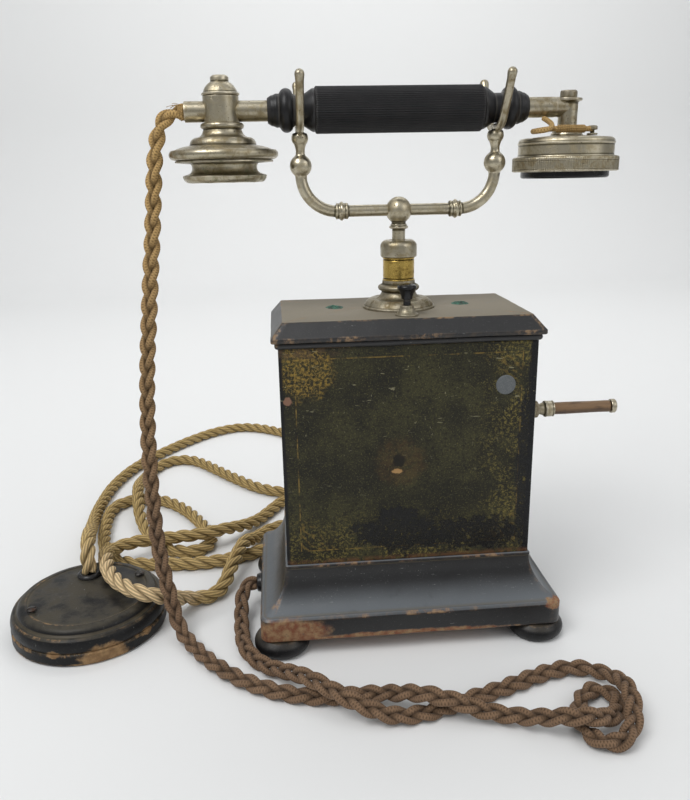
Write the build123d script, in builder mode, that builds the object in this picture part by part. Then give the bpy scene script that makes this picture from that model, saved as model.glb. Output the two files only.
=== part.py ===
"""A table telephone with a hand-cranked magneto, its handset and both of its cords, in millimetres.

The origin is on the table, under the middle of the case. +X is to the right, +Y to the back, +Z up.
"""

from build123d import *
import math
import os

# ---- Driving dimensions ----

CASE_WIDTH = 160.0
CASE_DEPTH = 92.0
CASE_BOTTOM = 56.5
CASE_TOP = 200.7
BOARD = 6.0
FIT = 0.2  # gap between a loose board and its frame

FOOT_HEIGHT = 11.7
FOOT_RADIUS = 18.4
FOOT_X = 85.7
FOOT_Y = 51.5
BAND_TOP = 28.2
PLINTH_OUT = 19.0  # how far the plinth stands out past the case

BEAD_TOP = 204.5
BEAD_OUT = 1.8
CAP_OUT = 4.0
CAP_EDGE_TOP = 207.3
CAP_BEVEL = 7.1
CAP_TOP = 216.0

STEM_RADIUS = 4.15
RUNNING = 0.05  # radial clearance of a part that slides or turns in its hole
BAR_HEIGHT = 277.8
BAR_RADIUS = 3.65
ARM_X = 61.0
ARM_BEND = 22.0
WAIST_RADIUS = 2.8
ARM_TOP = 312.5
FORK_RADIUS = 2.5
FORK_BOTTOM = 326.1
FORK_TIP_Y = 32.0
FORK_TIP_Z = 356.6

HANDSET_HEIGHT = 337.5
GRIP_LENGTH = 103.0
GRIP_RADIUS = 13.6
TUBE_RADIUS = 6.0
TUBE_LEFT = -129.3
TUBE_RIGHT = 97.9
TRANSMITTER_X = -107.5
RECEIVER_X = 106.5
SNUG = 0.05  # gap round the tube where a sleeve holds it

BUTTON_Y = -33.0
BUTTON_STEM = 2.3

SHAFT_Y = 12.0
SHAFT_Z = 150.0
SHAFT_RADIUS = 4.0
HANDLE_Y = -28.0
HANDLE_END = 140.5
HANDLE_PIN = 1.8
GEAR_TIP = 26.0
PINION_TIP = 6.5
GEAR_GAP = 0.9
ARMATURE_Z = SHAFT_Z - GEAR_TIP - PINION_TIP - GEAR_GAP
ARMATURE_RADIUS = 13.0
ARMATURE_SHAFT = 2.5

ROSETTE_X = -220.0
ROSETTE_Y = -7.0
ROSETTE_RADIUS = 52.0
ROSETTE_TOP = 24.0
ROSETTE_INLET = (-223.5, 14.5)

HANDSET_CORD = 9.5  # diameter
LINE_CORD = 10.0
CORD_INLET_Y = -1.0
CORD_INLET_Z = 19.8
LINE_INLET_X = -30.0
LINE_INLET_Z = 20.0
LINE_INLET_OUT = 6.3

FAR = 400.0  # longer than any part, for cuts that go right through

os.makedirs("parts", exist_ok=True)


# ---- Ways of making a piece ----


def keep(piece, name):
    """Labels a finished piece and writes it."""
    piece.part.label = name
    export_step(piece.part, f"parts/{name}.step")


def outline(start, *steps):
    """A closed outline. A step is a corner, or a pair of a middle and an end point for an arc."""
    here = start
    for step in steps:
        if isinstance(step[0], tuple):
            ThreePointArc(here, step[0], step[1])
            here = step[1]
        else:
            Line(here, step)
            here = step
    if here != start:
        Line(here, start)


def moved(point, across, up):
    """An outline step, shifted."""
    if isinstance(point[0], tuple):
        return tuple((across + x, up + y) for x, y in point)
    return (across + point[0], up + point[1])


def turned(x, y, *profile):
    """A piece turned about the upright line through (x, y); its profile is in radii and heights."""
    with BuildPart() as piece:
        with BuildSketch(Plane.XZ.offset(-y)):
            with BuildLine():
                outline(*[moved(step, x, 0) for step in profile])
            make_face()
        revolve(axis=Axis((x, y, 0), (0, 0, 1)))
    return piece


def turned_along_x(y, z, *profile):
    """A piece turned about a line along X; its profile is in places along X and radii."""
    with BuildPart() as piece:
        with BuildSketch(Plane.XZ.offset(-y)):
            with BuildLine():
                outline(*[moved(step, 0, z) for step in profile])
            make_face()
        revolve(axis=Axis((0, y, z), (1, 0, 0)))
    return piece


def block(low, high):
    """A plain board or block between two opposite corners."""
    size = [b - a for a, b in zip(low, high)]
    middle = [(a + b) / 2 for a, b in zip(low, high)]
    with BuildPart() as piece:
        with Locations(tuple(middle)):
            Box(*size)
    return piece


def moulded(half_width, half_depth, bottom, *profile):
    """A block with one moulding round its four sides, mitred at the corners.

    The profile is in projections past the half sizes, and heights, from the bottom up.
    """
    top = profile[-1][-1][1] if isinstance(profile[-1][0], tuple) else profile[-1][1]
    with BuildPart() as piece:
        with BuildSketch(Plane.XZ):
            with BuildLine():
                outline((0, bottom), *[moved(step, half_width, 0) for step in profile], (0, top))
            make_face()
        extrude(amount=FAR, both=True)
        with BuildSketch(Plane.YZ):
            with BuildLine():
                outline((0, bottom), *[moved(step, half_depth, 0) for step in profile], (0, top))
            make_face()
        extrude(amount=FAR, both=True, mode=Mode.INTERSECT)
        mirror(about=Plane.YZ)
        mirror(about=Plane.XZ)
    return piece


def drill(low, high, radius):
    """Cuts a round hole from one point to another out of the piece being made."""
    start = Vector(*low)
    along = Vector(*high) - start
    with BuildSketch(Plane(origin=start, z_dir=along)) as hole:
        Circle(radius)
    extrude(hole.sketch, amount=along.length, mode=Mode.SUBTRACT)


def bend_radii(points):
    """The radius at each inner point of a cord's route: as large as its two runs allow."""
    radii = []
    for before, here, after in zip(points, points[1:], points[2:]):
        coming = here - before
        going = after - here
        turn = math.radians(coming.get_angle(going))
        radii.append(0.45 * min(coming.length, going.length) / math.tan(turn / 2))
    return radii


def cord_tube(name, route, diameter):
    """A round cord of straight runs joined by arcs."""
    points = [Vector(*point) for point in route]
    radii = bend_radii(points)
    with BuildPart() as cord:
        with BuildLine() as path:
            FilletPolyline(*points, radius=radii)
        with BuildSketch(Plane(origin=points[0], z_dir=points[1] - points[0])):
            Circle(diameter / 2)
        sweep()
    length = path.line.length if hasattr(path.line, "length") else sum(e.length for e in path.edges())
    expected = math.pi * (diameter / 2) ** 2 * length
    print(f"{name}: {length:.0f} mm long, volume {cord.part.volume / expected:.3f} of section x length")
    print("  bend radii, in diameters:", [round(radius / diameter, 1) for radius in radii])
    keep(cord, name)


# ---- Plinth, feet and base ----

HALF_WIDTH = CASE_WIDTH / 2
HALF_DEPTH = CASE_DEPTH / 2
INNER_WIDTH = HALF_WIDTH - BOARD
INNER_DEPTH = HALF_DEPTH - BOARD

with BuildPart() as plinth:
    add(
        moulded(
            HALF_WIDTH,
            HALF_DEPTH,
            FOOT_HEIGHT,
            (PLINTH_OUT - 1.0, FOOT_HEIGHT),
            (PLINTH_OUT, FOOT_HEIGHT + 1.0),
            (PLINTH_OUT, BAND_TOP - 1.2),
            (PLINTH_OUT - 1.4, BAND_TOP + 0.6),
            ((5.6, 38.5), (0.4, CASE_BOTTOM)),
        ).part
    )
    add(block((-INNER_WIDTH, -INNER_DEPTH, 0), (INNER_WIDTH, INNER_DEPTH, FAR)).part, mode=Mode.SUBTRACT)
keep(plinth, "plinth")

base_board = block(
    (-INNER_WIDTH + FIT, -INNER_DEPTH + FIT, FOOT_HEIGHT),
    (INNER_WIDTH - FIT, INNER_DEPTH - FIT, FOOT_HEIGHT + 5),
)
keep(base_board, "base_board")

FEET = [(sx * FOOT_X, sy * FOOT_Y) for sx in (-1, 1) for sy in (-1, 1)]
with BuildPart() as feet:
    for x, y in FEET:
        bun = turned(
            x,
            y,
            (0, 0),
            (FOOT_RADIUS - 4.6, 0),
            ((FOOT_RADIUS, 5.6), (FOOT_RADIUS - 2.4, 10.4)),
            (FOOT_RADIUS - 3.4, FOOT_HEIGHT),
            (0, FOOT_HEIGHT),
        )
        add(bun.part)
keep(feet, "feet")

# ---- Case ----

with BuildPart() as front_panel:
    add(block((-HALF_WIDTH, -HALF_DEPTH, CASE_BOTTOM), (HALF_WIDTH, -INNER_DEPTH, CASE_TOP)).part)
keep(front_panel, "front_panel")

PLUG_X = 60.2
PLUG_Z = 172.8
with BuildPart() as panel_plug:
    with BuildSketch(Plane.XZ.offset(HALF_DEPTH)):
        with Locations((PLUG_X, PLUG_Z)):
            Circle(6.5)
    extrude(amount=0.7)
keep(panel_plug, "panel_plug")

with BuildPart() as side_panels:
    for side in (-1, 1):
        inner, outer = sorted((side * INNER_WIDTH, side * HALF_WIDTH))
        add(block((inner, -INNER_DEPTH, CASE_BOTTOM), (outer, HALF_DEPTH, CASE_TOP)).part)
    drill((HALF_WIDTH - 10, SHAFT_Y, SHAFT_Z), (HALF_WIDTH + 5, SHAFT_Y, SHAFT_Z), 7.0)
keep(side_panels, "side_panels")

DOOR_SCREWS = [(sx * 66, z) for sx in (-1, 1) for z in (66, 190)]
with BuildPart() as rear_panel:
    add(
        block(
            (-INNER_WIDTH + FIT, INNER_DEPTH, CASE_BOTTOM + FIT),
            (INNER_WIDTH - FIT, HALF_DEPTH, CASE_TOP - FIT),
        ).part
    )
    for x, z in DOOR_SCREWS:
        drill((x, INNER_DEPTH - 1, z), (x, HALF_DEPTH + 1, z), 2.2)
keep(rear_panel, "rear_panel")

with BuildPart() as rear_panel_screws:
    for x, z in DOOR_SCREWS:
        with BuildSketch(Plane.XZ.offset(-INNER_DEPTH)):
            with Locations((x, z)):
                Circle(1.9)
        extrude(amount=-BOARD - 0.2)
        with BuildSketch(Plane.XZ.offset(-HALF_DEPTH - 0.2)):
            with Locations((x, z)):
                Circle(4.0)
        extrude(amount=-1.4)
keep(rear_panel_screws, "rear_panel_screws")

SHELF_TOP = 60.0
shelf = block(
    (-INNER_WIDTH + FIT, -INNER_DEPTH + FIT, SHELF_TOP - BOARD),
    (INNER_WIDTH - FIT, INNER_DEPTH - FIT, SHELF_TOP),
)
keep(shelf, "shelf")

PLUNGER_HOLE = 5.0
TOP_BUSHES = [(-42, 5), (42, 5)]
BUSH_RADIUS = 5.2
with BuildPart() as top_cap:
    add(
        moulded(
            HALF_WIDTH,
            HALF_DEPTH,
            CASE_TOP,
            (BEAD_OUT - 0.8, CASE_TOP),
            ((BEAD_OUT, (CASE_TOP + BEAD_TOP) / 2), (BEAD_OUT - 0.8, BEAD_TOP)),
            (CAP_OUT, BEAD_TOP),
            (CAP_OUT, CAP_EDGE_TOP),
            (CAP_OUT - CAP_BEVEL, CAP_TOP),
        ).part
    )
    add(block((-65, -INNER_DEPTH, CASE_TOP - 1), (65, 30, BEAD_TOP)).part, mode=Mode.SUBTRACT)
    drill((0, 0, CASE_TOP - 1), (0, 0, CAP_TOP + 1), PLUNGER_HOLE)
    drill((0, BUTTON_Y, CASE_TOP - 1), (0, BUTTON_Y, CAP_TOP + 1), 3.2)
    for x, y in TOP_BUSHES:
        drill((x, y, CAP_TOP - 4), (x, y, CAP_TOP + 1), BUSH_RADIUS + SNUG)
keep(top_cap, "top_cap")

with BuildPart() as top_bushes:
    for x, y in TOP_BUSHES:
        bush = turned(
            x,
            y,
            (2.4, CAP_TOP - 3.9),
            (BUSH_RADIUS, CAP_TOP - 3.9),
            (BUSH_RADIUS, CAP_TOP + 0.5),
            (2.4, CAP_TOP + 0.5),
        )
        add(bush.part)
keep(top_bushes, "top_bushes")

# ---- Column that carries the cradle ----

BARREL_BOTTOM = 233.8
BARREL_TOP = 248.5
COLUMN_TOP = 259.3

column_base = turned(
    0,
    0,
    (PLUNGER_HOLE, CAP_TOP),
    (23.4, CAP_TOP),
    (23.4, CAP_TOP + 1.4),
    (22.6, CAP_TOP + 2.0),
    ((20.9, 220.6), (18.5, 222.0)),
    (17.2, 222.2),
    ((12.9, 223.2), (11.2, 226.4)),
    ((13.0, 228.4), (12.6, 230.4)),
    (10.4, 231.6),
    (10.4, BARREL_BOTTOM),
    (PLUNGER_HOLE, BARREL_BOTTOM),
)
keep(column_base, "column_base")

column_barrel = turned(
    0,
    0,
    (PLUNGER_HOLE, BARREL_BOTTOM),
    (10.1, BARREL_BOTTOM),
    (10.1, BARREL_TOP),
    (PLUNGER_HOLE, BARREL_TOP),
)
keep(column_barrel, "column_barrel")

column_cap = turned(
    0,
    0,
    (STEM_RADIUS + RUNNING, BARREL_TOP),
    (11.2, BARREL_TOP),
    (11.6, BARREL_TOP + 0.8),
    (11.6, COLUMN_TOP - 3.6),
    ((10.5, COLUMN_TOP - 1.1), (7.8, COLUMN_TOP)),
    (STEM_RADIUS + RUNNING, COLUMN_TOP),
)
keep(column_cap, "column_cap")

# ---- Cradle: it rises when the handset is lifted ----

STEM_BOTTOM = 198.0
BALL_RADIUS = 8.2
ARM_START = 6.9

with BuildPart() as cradle_stem:
    add(
        turned(
            0,
            0,
            (0, STEM_BOTTOM - 6),
            (4.0, STEM_BOTTOM - 6),
            (7.5, STEM_BOTTOM - 3),
            (7.5, STEM_BOTTOM),
            (STEM_RADIUS, STEM_BOTTOM),
            (STEM_RADIUS, 266.0),
            (6.2, 266.4),
            (6.2, 268.0),
            (4.6, 268.8),
            (4.2, 270.6),
            ((BALL_RADIUS, BAR_HEIGHT), (3.0, BAR_HEIGHT + 7.6)),
            (0, BAR_HEIGHT + 8.2),
        ).part
    )
    for side in (-1, 1):
        add(
            block(
                (min(side * ARM_START, side * 20), -10, BAR_HEIGHT - 10),
                (max(side * ARM_START, side * 20), 10, BAR_HEIGHT + 10),
            ).part,
            mode=Mode.SUBTRACT,
        )
keep(cradle_stem, "cradle_stem")

SHOULDER_Z = BAR_HEIGHT + ARM_BEND
COLLAR_X = 36.3


def cradle_arm(side):
    """One arm of the cradle: half of the cross bar with its ring, the bend, and the ball at its top."""
    with BuildPart() as arm:
        with BuildLine():
            FilletPolyline(
                (side * ARM_START, 0, BAR_HEIGHT),
                (side * ARM_X, 0, BAR_HEIGHT),
                (side * ARM_X, 0, SHOULDER_Z + 1.5),
                radius=ARM_BEND,
            )
        with BuildSketch(Plane.YZ.offset(side * ARM_START)):
            with Locations((0, BAR_HEIGHT)):
                Circle(BAR_RADIUS)
        sweep()
        add(
            turned(
                side * ARM_X,
                0,
                (0, SHOULDER_Z - 0.5),
                (3.4, SHOULDER_Z - 0.5),
                ((6.7, 305.4), (WAIST_RADIUS, 311.4)),
                (WAIST_RADIUS, ARM_TOP),
                (0, ARM_TOP),
            ).part
        )
        left = side * COLLAR_X - 2.6
        add(
            turned_along_x(
                0,
                BAR_HEIGHT,
                (left, 0),
                (left, 4.6),
                (left + 1.1, 5.0),
                ((left + 2.6, 6.0), (left + 4.1, 5.0)),
                (left + 5.2, 4.6),
                (left + 5.2, 0),
            ).part
        )
    return arm


def cradle_fork(side):
    """The fork on one arm, with the ball and waist that it stands on."""
    tip = (side * ARM_X, -FORK_TIP_Y, FORK_TIP_Z)
    knee = (side * ARM_X, -FORK_TIP_Y + 9.5, 341.0)
    with BuildPart() as fork:
        with BuildLine():
            FilletPolyline(
                tip,
                knee,
                (side * ARM_X, -12.5, FORK_BOTTOM),
                (side * ARM_X, 12.5, FORK_BOTTOM),
                (side * ARM_X, FORK_TIP_Y - 9.5, 341.0),
                (side * ARM_X, FORK_TIP_Y, FORK_TIP_Z),
                radius=[18, 13, 13, 18],
            )
        with BuildSketch(Plane(origin=tip, z_dir=Vector(*knee) - Vector(*tip))):
            Circle(FORK_RADIUS)
        sweep()
        with Locations(tip, (side * ARM_X, FORK_TIP_Y, FORK_TIP_Z)):
            Sphere(2.9)
        add(
            turned(
                side * ARM_X,
                0,
                (0, ARM_TOP),
                (WAIST_RADIUS, ARM_TOP),
                (WAIST_RADIUS, 317.4),
                ((5.3, 321.6), (2.4, FORK_BOTTOM)),
                (0, FORK_BOTTOM),
            ).part
        )
    return fork


with BuildPart() as cradle_arms:
    add(cradle_arm(-1).part)
    add(cradle_arm(1).part)
keep(cradle_arms, "cradle_arms")

with BuildPart() as forks:
    add(cradle_fork(-1).part)
    add(cradle_fork(1).part)
keep(forks, "forks")

cradle_spring = turned(0, 0, (4.5, 187.4), (6.5, 187.4), (6.5, 191.9), (4.5, 191.9))
keep(cradle_spring, "cradle_spring")

# ---- Hook switch under the cap, worked by the cradle's foot ----

BRIDGE_TOP = 187.2
with BuildPart() as hook_switch:
    add(block((-14, -38, BRIDGE_TOP - 2.4), (14, 38, BRIDGE_TOP)).part)
    add(block((-9, 12, BRIDGE_TOP), (9, 26, CASE_TOP)).part)
    for height in (189.0, 192.0, 195.0):
        add(block((-3, 8.4, height), (3, 12, height + 0.8)).part)
keep(hook_switch, "hook_switch")

# ---- Push button in front of the column ----

with BuildPart() as button_base:
    add(
        turned(
            0,
            BUTTON_Y,
            (BUTTON_STEM + RUNNING, CAP_TOP),
            (7.2, CAP_TOP),
            (7.2, CAP_TOP + 1.2),
            ((5.2, 218.6), (4.2, 222.2)),
            (BUTTON_STEM + RUNNING, 222.4),
        ).part
    )
keep(button_base, "button_base")

push_button = turned(
    0,
    BUTTON_Y,
    (0, 198),
    (BUTTON_STEM, 198),
    (BUTTON_STEM, 226.0),
    (3.4, 226.3),
    ((4.2, 229.0), (5.3, 232.6)),
    ((5.7, 234.0), (4.6, 235.0)),
    (0, 235.4),
)
keep(push_button, "push_button")

button_spring = turned(0, BUTTON_Y, (2.5, 205.2), (3.1, 205.2), (3.1, 215.8), (2.5, 215.8))
keep(button_spring, "button_spring")

# ---- Handset: grip, tube, transmitter and receiver ----

HALF_GRIP = GRIP_LENGTH / 2
SLEEVE = TUBE_RADIUS + SNUG

handset_tube = turned_along_x(
    0,
    HANDSET_HEIGHT,
    (TUBE_LEFT, 0),
    (TUBE_LEFT, TUBE_RADIUS),
    (TUBE_RIGHT, TUBE_RADIUS),
    (TUBE_RIGHT, 0),
)
keep(handset_tube, "handset_tube")

grip = turned_along_x(
    0,
    HANDSET_HEIGHT,
    (-HALF_GRIP, SLEEVE),
    (-HALF_GRIP, GRIP_RADIUS - 0.8),
    (-HALF_GRIP + 0.8, GRIP_RADIUS),
    (HALF_GRIP - 0.8, GRIP_RADIUS),
    (HALF_GRIP, GRIP_RADIUS - 0.8),
    (HALF_GRIP, SLEEVE),
)
keep(grip, "grip")

with BuildPart() as grip_ends:
    grip_end = turned_along_x(
        0,
        HANDSET_HEIGHT,
        (HALF_GRIP, SLEEVE),
        (HALF_GRIP, 12.4),
        (HALF_GRIP + 2.2, 12.0),
        ((56.6, 10.0), (58.2, 8.6)),
        (63.8, 8.6),
        (65.4, 10.4),
        ((69.5, 12.6), (73.6, 10.4)),
        (74.4, 9.2),
        (76.6, 9.2),
        (80.0, 7.2),
        (80.0, SLEEVE),
    )
    add(grip_end.part)
    mirror(about=Plane.YZ)
keep(grip_ends, "grip_ends")

FLANGE_BOTTOM = 309.5
with BuildPart() as transmitter_tee:
    add(
        turned(
            TRANSMITTER_X,
            0,
            (0, 331),
            (10.7, 331),
            (10.7, 346.2),
            (11.2, 346.5),
            (10.8, 347.6),
            ((8.9, 351.0), (6.4, 353.8)),
            (5.4, 354.4),
            (5.4, 356.4),
            (4.2, 357.7),
            (0, 357.7),
        ).part
    )
    drill((TRANSMITTER_X - 20, 0, HANDSET_HEIGHT), (TRANSMITTER_X + 20, 0, HANDSET_HEIGHT), SLEEVE)
keep(transmitter_tee, "transmitter_tee")

transmitter_housing = turned(
    TRANSMITTER_X,
    0,
    (0, 331.0),
    (11.6, 331.0),
    ((13.0, 329.2), (11.6, 327.4)),
    (12.2, 326.0),
    ((13.4, 323.8), (16.2, 322.6)),
    ((18.9, 321.2), (20.2, 318.0)),
    (25.0, 317.2),
    ((31.4, 315.4), (33.0, 312.4)),
    ((32.4, 310.2), (30.8, FLANGE_BOTTOM)),
    (28.0, FLANGE_BOTTOM),
    (28.0, 313.0),
    (17.0, 315.6),
    (8.0, 319.0),
    (0, 319.0),
)
keep(transmitter_housing, "transmitter_housing")

transmitter_capsule = turned(TRANSMITTER_X, 0, (0, 309.7), (27.8, 309.7), (27.8, 312.6), (0, 312.6))
keep(transmitter_capsule, "transmitter_capsule")

mouthpiece = turned(
    TRANSMITTER_X,
    0,
    (17.4, 309.5),
    (30.0, 309.5),
    (30.0, 308.0),
    (20.4, 307.6),
    ((19.6, 304.8), (21.4, 302.2)),
    (25.6, 301.3),
    (25.6, 300.2),
    ((22.9, 298.6), (22.2, 296.5)),
    (20.6, 296.5),
    ((18.0, 301.5), (17.4, 307.0)),
)
keep(mouthpiece, "mouthpiece")

with BuildPart() as receiver_post:
    add(
        turned(
            RECEIVER_X,
            0,
            (0, 322.2),
            (8.6, 322.2),
            (8.6, 324.6),
            (5.7, 325.4),
            (5.7, 340.8),
            (8.0, 341.2),
            (8.0, 342.6),
            (0, 342.6),
        ).part
    )
    add(
        turned_along_x(
            0,
            HANDSET_HEIGHT,
            (TUBE_RIGHT, 0),
            (TUBE_RIGHT, 5.0),
            (RECEIVER_X, 5.0),
            (RECEIVER_X, 0),
        ).part
    )
keep(receiver_post, "receiver_post")

CAN_RADIUS = 29.6
CAN_BOTTOM = 308.0
receiver_case = turned(
    RECEIVER_X,
    0,
    (0, 322.2),
    (9.4, 322.2),
    (10.0, 320.6),
    (26.4, 318.8),
    ((28.8, 317.8), (CAN_RADIUS, 315.4)),
    (CAN_RADIUS, CAN_BOTTOM),
    (27.4, CAN_BOTTOM),
    (27.4, 315.0),
    (0, 317.4),
)
keep(receiver_case, "receiver_case")

RING_RADIUS = 32.7
receiver_ring = turned(
    RECEIVER_X,
    0,
    (27.3, CAN_BOTTOM),
    (31.6, CAN_BOTTOM),
    (RING_RADIUS, CAN_BOTTOM - 0.9),
    (RING_RADIUS, 299.8),
    (31.8, 299.0),
    (27.3, 299.0),
)
keep(receiver_ring, "receiver_ring")

ear_cap = turned(
    RECEIVER_X,
    0,
    (6.0, 303.0),
    (27.2, 303.0),
    (27.2, 296.6),
    ((26.8, 295.4), (25.6, 295.0)),
    ((15.0, 297.2), (6.0, 299.4)),
)
keep(ear_cap, "ear_cap")

diaphragm = turned(RECEIVER_X, 0, (0, 303.2), (27.0, 303.2), (27.0, 303.7), (0, 303.7))
keep(diaphragm, "diaphragm")

with BuildPart() as receiver_magnet:
    add(turned(RECEIVER_X, 0, (0, 311.0), (21.0, 311.0), (21.0, 314.6), (0, 314.6)).part)
    for side in (-1, 1):
        add(turned(RECEIVER_X + side * 8, 0, (0, 304.4), (5.0, 304.4), (5.0, 311.0), (0, 311.0)).part)
keep(receiver_magnet, "receiver_magnet")

# The lead is lashed over the can's top: a short twist from under the tube to the terminal.
LEAD_RADIUS = 1.9
with BuildPart() as receiver_lead:
    with BuildLine():
        FilletPolyline(
            (88, -4.0, 328.6),
            (93, -9.5, 324.8),
            (99, -13.5, 322.9),
            (107, -14.5, 322.6),
            (114, -12.5, 323.0),
            radius=[5, 6, 6],
        )
    with BuildSketch(Plane(origin=(88, -4.0, 328.6), z_dir=(5, -5.5, -3.8))):
        Circle(LEAD_RADIUS)
    sweep()
keep(receiver_lead, "receiver_lead")

TERMINAL_X = 119.0
TERMINAL_Y = -10.0
with BuildPart() as receiver_nuts:
    with BuildSketch(Plane.XY.offset(342.6)):
        with Locations((RECEIVER_X, 0)):
            RegularPolygon(radius=4.8, side_count=6, major_radius=False)
    extrude(amount=4.6)
    terminal = turned(
        TERMINAL_X,
        TERMINAL_Y,
        (0, 320.4),
        (3.2, 320.4),
        (3.2, 321.4),
        (1.2, 321.4),
        (1.2, 323.4),
        (3.0, 323.4),
        (3.0, 325.8),
        (0, 325.8),
    )
    add(terminal.part)
keep(receiver_nuts, "receiver_nuts")

# ---- Crank on the right side, with a handle that turns on its pin ----

shaft_bush = turned_along_x(
    SHAFT_Y,
    SHAFT_Z,
    (INNER_WIDTH - 1, SHAFT_RADIUS + RUNNING),
    (INNER_WIDTH - 1, 6.9),
    (HALF_WIDTH, 6.9),
    (HALF_WIDTH, 9.5),
    (HALF_WIDTH + 1.6, 9.0),
    (HALF_WIDTH + 1.6, SHAFT_RADIUS + RUNNING),
)
keep(shaft_bush, "shaft_bush")

GEAR_LEFT = 56.0
GEAR_WIDTH = 6.0
ARM_LEFT = HALF_WIDTH + 3.0
ARM_THICK = 4.4
ARM_RIGHT = ARM_LEFT + ARM_THICK
crank_shaft = turned_along_x(
    SHAFT_Y,
    SHAFT_Z,
    (-18, 0),
    (-18, SHAFT_RADIUS),
    (ARM_RIGHT, SHAFT_RADIUS),
    (ARM_RIGHT, 6.0),
    (ARM_RIGHT + 1.4, 5.4),
    (ARM_RIGHT + 2.8, 2.0),
    (ARM_RIGHT + 2.8, 0),
)
keep(crank_shaft, "crank_shaft")

with BuildPart() as crank_arm:
    with BuildSketch(Plane.YZ.offset(ARM_LEFT)):
        with Locations(((SHAFT_Y + HANDLE_Y) / 2, SHAFT_Z)):
            Rectangle(SHAFT_Y - HANDLE_Y, 9.6)
        with Locations((SHAFT_Y, SHAFT_Z)):
            Circle(8.0)
        with Locations((HANDLE_Y, SHAFT_Z)):
            Circle(5.6)
    extrude(amount=ARM_THICK)
    drill((ARM_LEFT - 1, SHAFT_Y, SHAFT_Z), (ARM_RIGHT + 1, SHAFT_Y, SHAFT_Z), SHAFT_RADIUS + SNUG)
    drill((ARM_LEFT - 1, HANDLE_Y, SHAFT_Z), (ARM_RIGHT + 1, HANDLE_Y, SHAFT_Z), HANDLE_PIN + SNUG)
keep(crank_arm, "crank_arm")

CAP_LENGTH = 3.8
handle_pin = turned_along_x(
    HANDLE_Y,
    SHAFT_Z,
    (ARM_LEFT, 0),
    (ARM_LEFT, HANDLE_PIN),
    (HANDLE_END - CAP_LENGTH, HANDLE_PIN),
    (HANDLE_END - CAP_LENGTH, 4.5),
    (HANDLE_END - 0.8, 4.5),
    (HANDLE_END, 3.6),
    (HANDLE_END, 0),
)
keep(handle_pin, "handle_pin")

SLEEVE_LEFT = ARM_RIGHT + 0.3
FERRULE_END = 98.0
SLEEVE_RIGHT = HANDLE_END - CAP_LENGTH - 0.3
handle_ferrule = turned_along_x(
    HANDLE_Y,
    SHAFT_Z,
    (SLEEVE_LEFT, HANDLE_PIN + RUNNING),
    (SLEEVE_LEFT, 3.2),
    (SLEEVE_LEFT + 4.2, 4.4),
    (SLEEVE_LEFT + 4.2, 5.3),
    (FERRULE_END, 5.3),
    (FERRULE_END, HANDLE_PIN + RUNNING),
)
keep(handle_ferrule, "handle_ferrule")
handle_grip = turned_along_x(
    HANDLE_Y,
    SHAFT_Z,
    (FERRULE_END, HANDLE_PIN + RUNNING),
    (FERRULE_END, 3.9),
    (SLEEVE_RIGHT, 3.8),
    (SLEEVE_RIGHT, HANDLE_PIN + RUNNING),
)
keep(handle_grip, "handle_grip")

# ---- Magneto inside the case ----


def spur_wheel(y, z, tip, teeth, bore):
    """A spur wheel about a line along X, with square-topped teeth that stay short of its mate's."""
    root = tip - 1.6
    with BuildPart() as wheel:
        with BuildSketch(Plane.YZ.offset(GEAR_LEFT)):
            with Locations((y, z)):
                Circle(root)
                with PolarLocations(0, teeth):
                    with Locations(((root + tip) / 2, 0)):
                        Rectangle(tip - root + 0.4, math.pi * root / teeth)
                Circle(bore, mode=Mode.SUBTRACT)
        extrude(amount=GEAR_WIDTH)
    return wheel


keep(spur_wheel(SHAFT_Y, SHAFT_Z, GEAR_TIP, 64, SHAFT_RADIUS + SNUG), "drive_gear")

PLATES = (-16.0, 48.0)
PLATE_THICK = 3.0
with BuildPart() as magneto_plates:
    for left in PLATES:
        add(block((left, SHAFT_Y - 24, SHELF_TOP), (left + PLATE_THICK, SHAFT_Y + 24, 162)).part)
    drill((-30, SHAFT_Y, SHAFT_Z), (60, SHAFT_Y, SHAFT_Z), SHAFT_RADIUS + RUNNING)
    drill((-30, SHAFT_Y, ARMATURE_Z), (60, SHAFT_Y, ARMATURE_Z), ARMATURE_SHAFT + RUNNING)
keep(magneto_plates, "magneto_plates")

MAGNET_BEND = 158.0  # height of the middle of the horseshoes' bend
with BuildPart() as magnets:
    for left in (-10.0, 9.0, 28.0):
        with BuildSketch(Plane.YZ.offset(left)):
            with Locations((SHAFT_Y, MAGNET_BEND)):
                Circle(24)
            with Locations((SHAFT_Y, MAGNET_BEND - 30)):
                Rectangle(48, 60)
            with Locations((SHAFT_Y, MAGNET_BEND)):
                Circle(17, mode=Mode.SUBTRACT)
            with Locations((SHAFT_Y, MAGNET_BEND - 31)):
                Rectangle(34, 62, mode=Mode.SUBTRACT)
        extrude(amount=15)
keep(magnets, "magnets")

with BuildPart() as armature:
    add(
        turned_along_x(
            SHAFT_Y,
            ARMATURE_Z,
            (-18, 0),
            (-18, ARMATURE_SHAFT),
            (-11, ARMATURE_SHAFT),
            (-11, ARMATURE_RADIUS),
            (45, ARMATURE_RADIUS),
            (45, ARMATURE_SHAFT),
            (GEAR_LEFT + GEAR_WIDTH, ARMATURE_SHAFT),
            (GEAR_LEFT + GEAR_WIDTH, 0),
        ).part
    )
    add(spur_wheel(SHAFT_Y, ARMATURE_Z, PINION_TIP, 16, ARMATURE_SHAFT).part)
keep(armature, "armature")

# ---- Ringer inside the case ----

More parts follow.
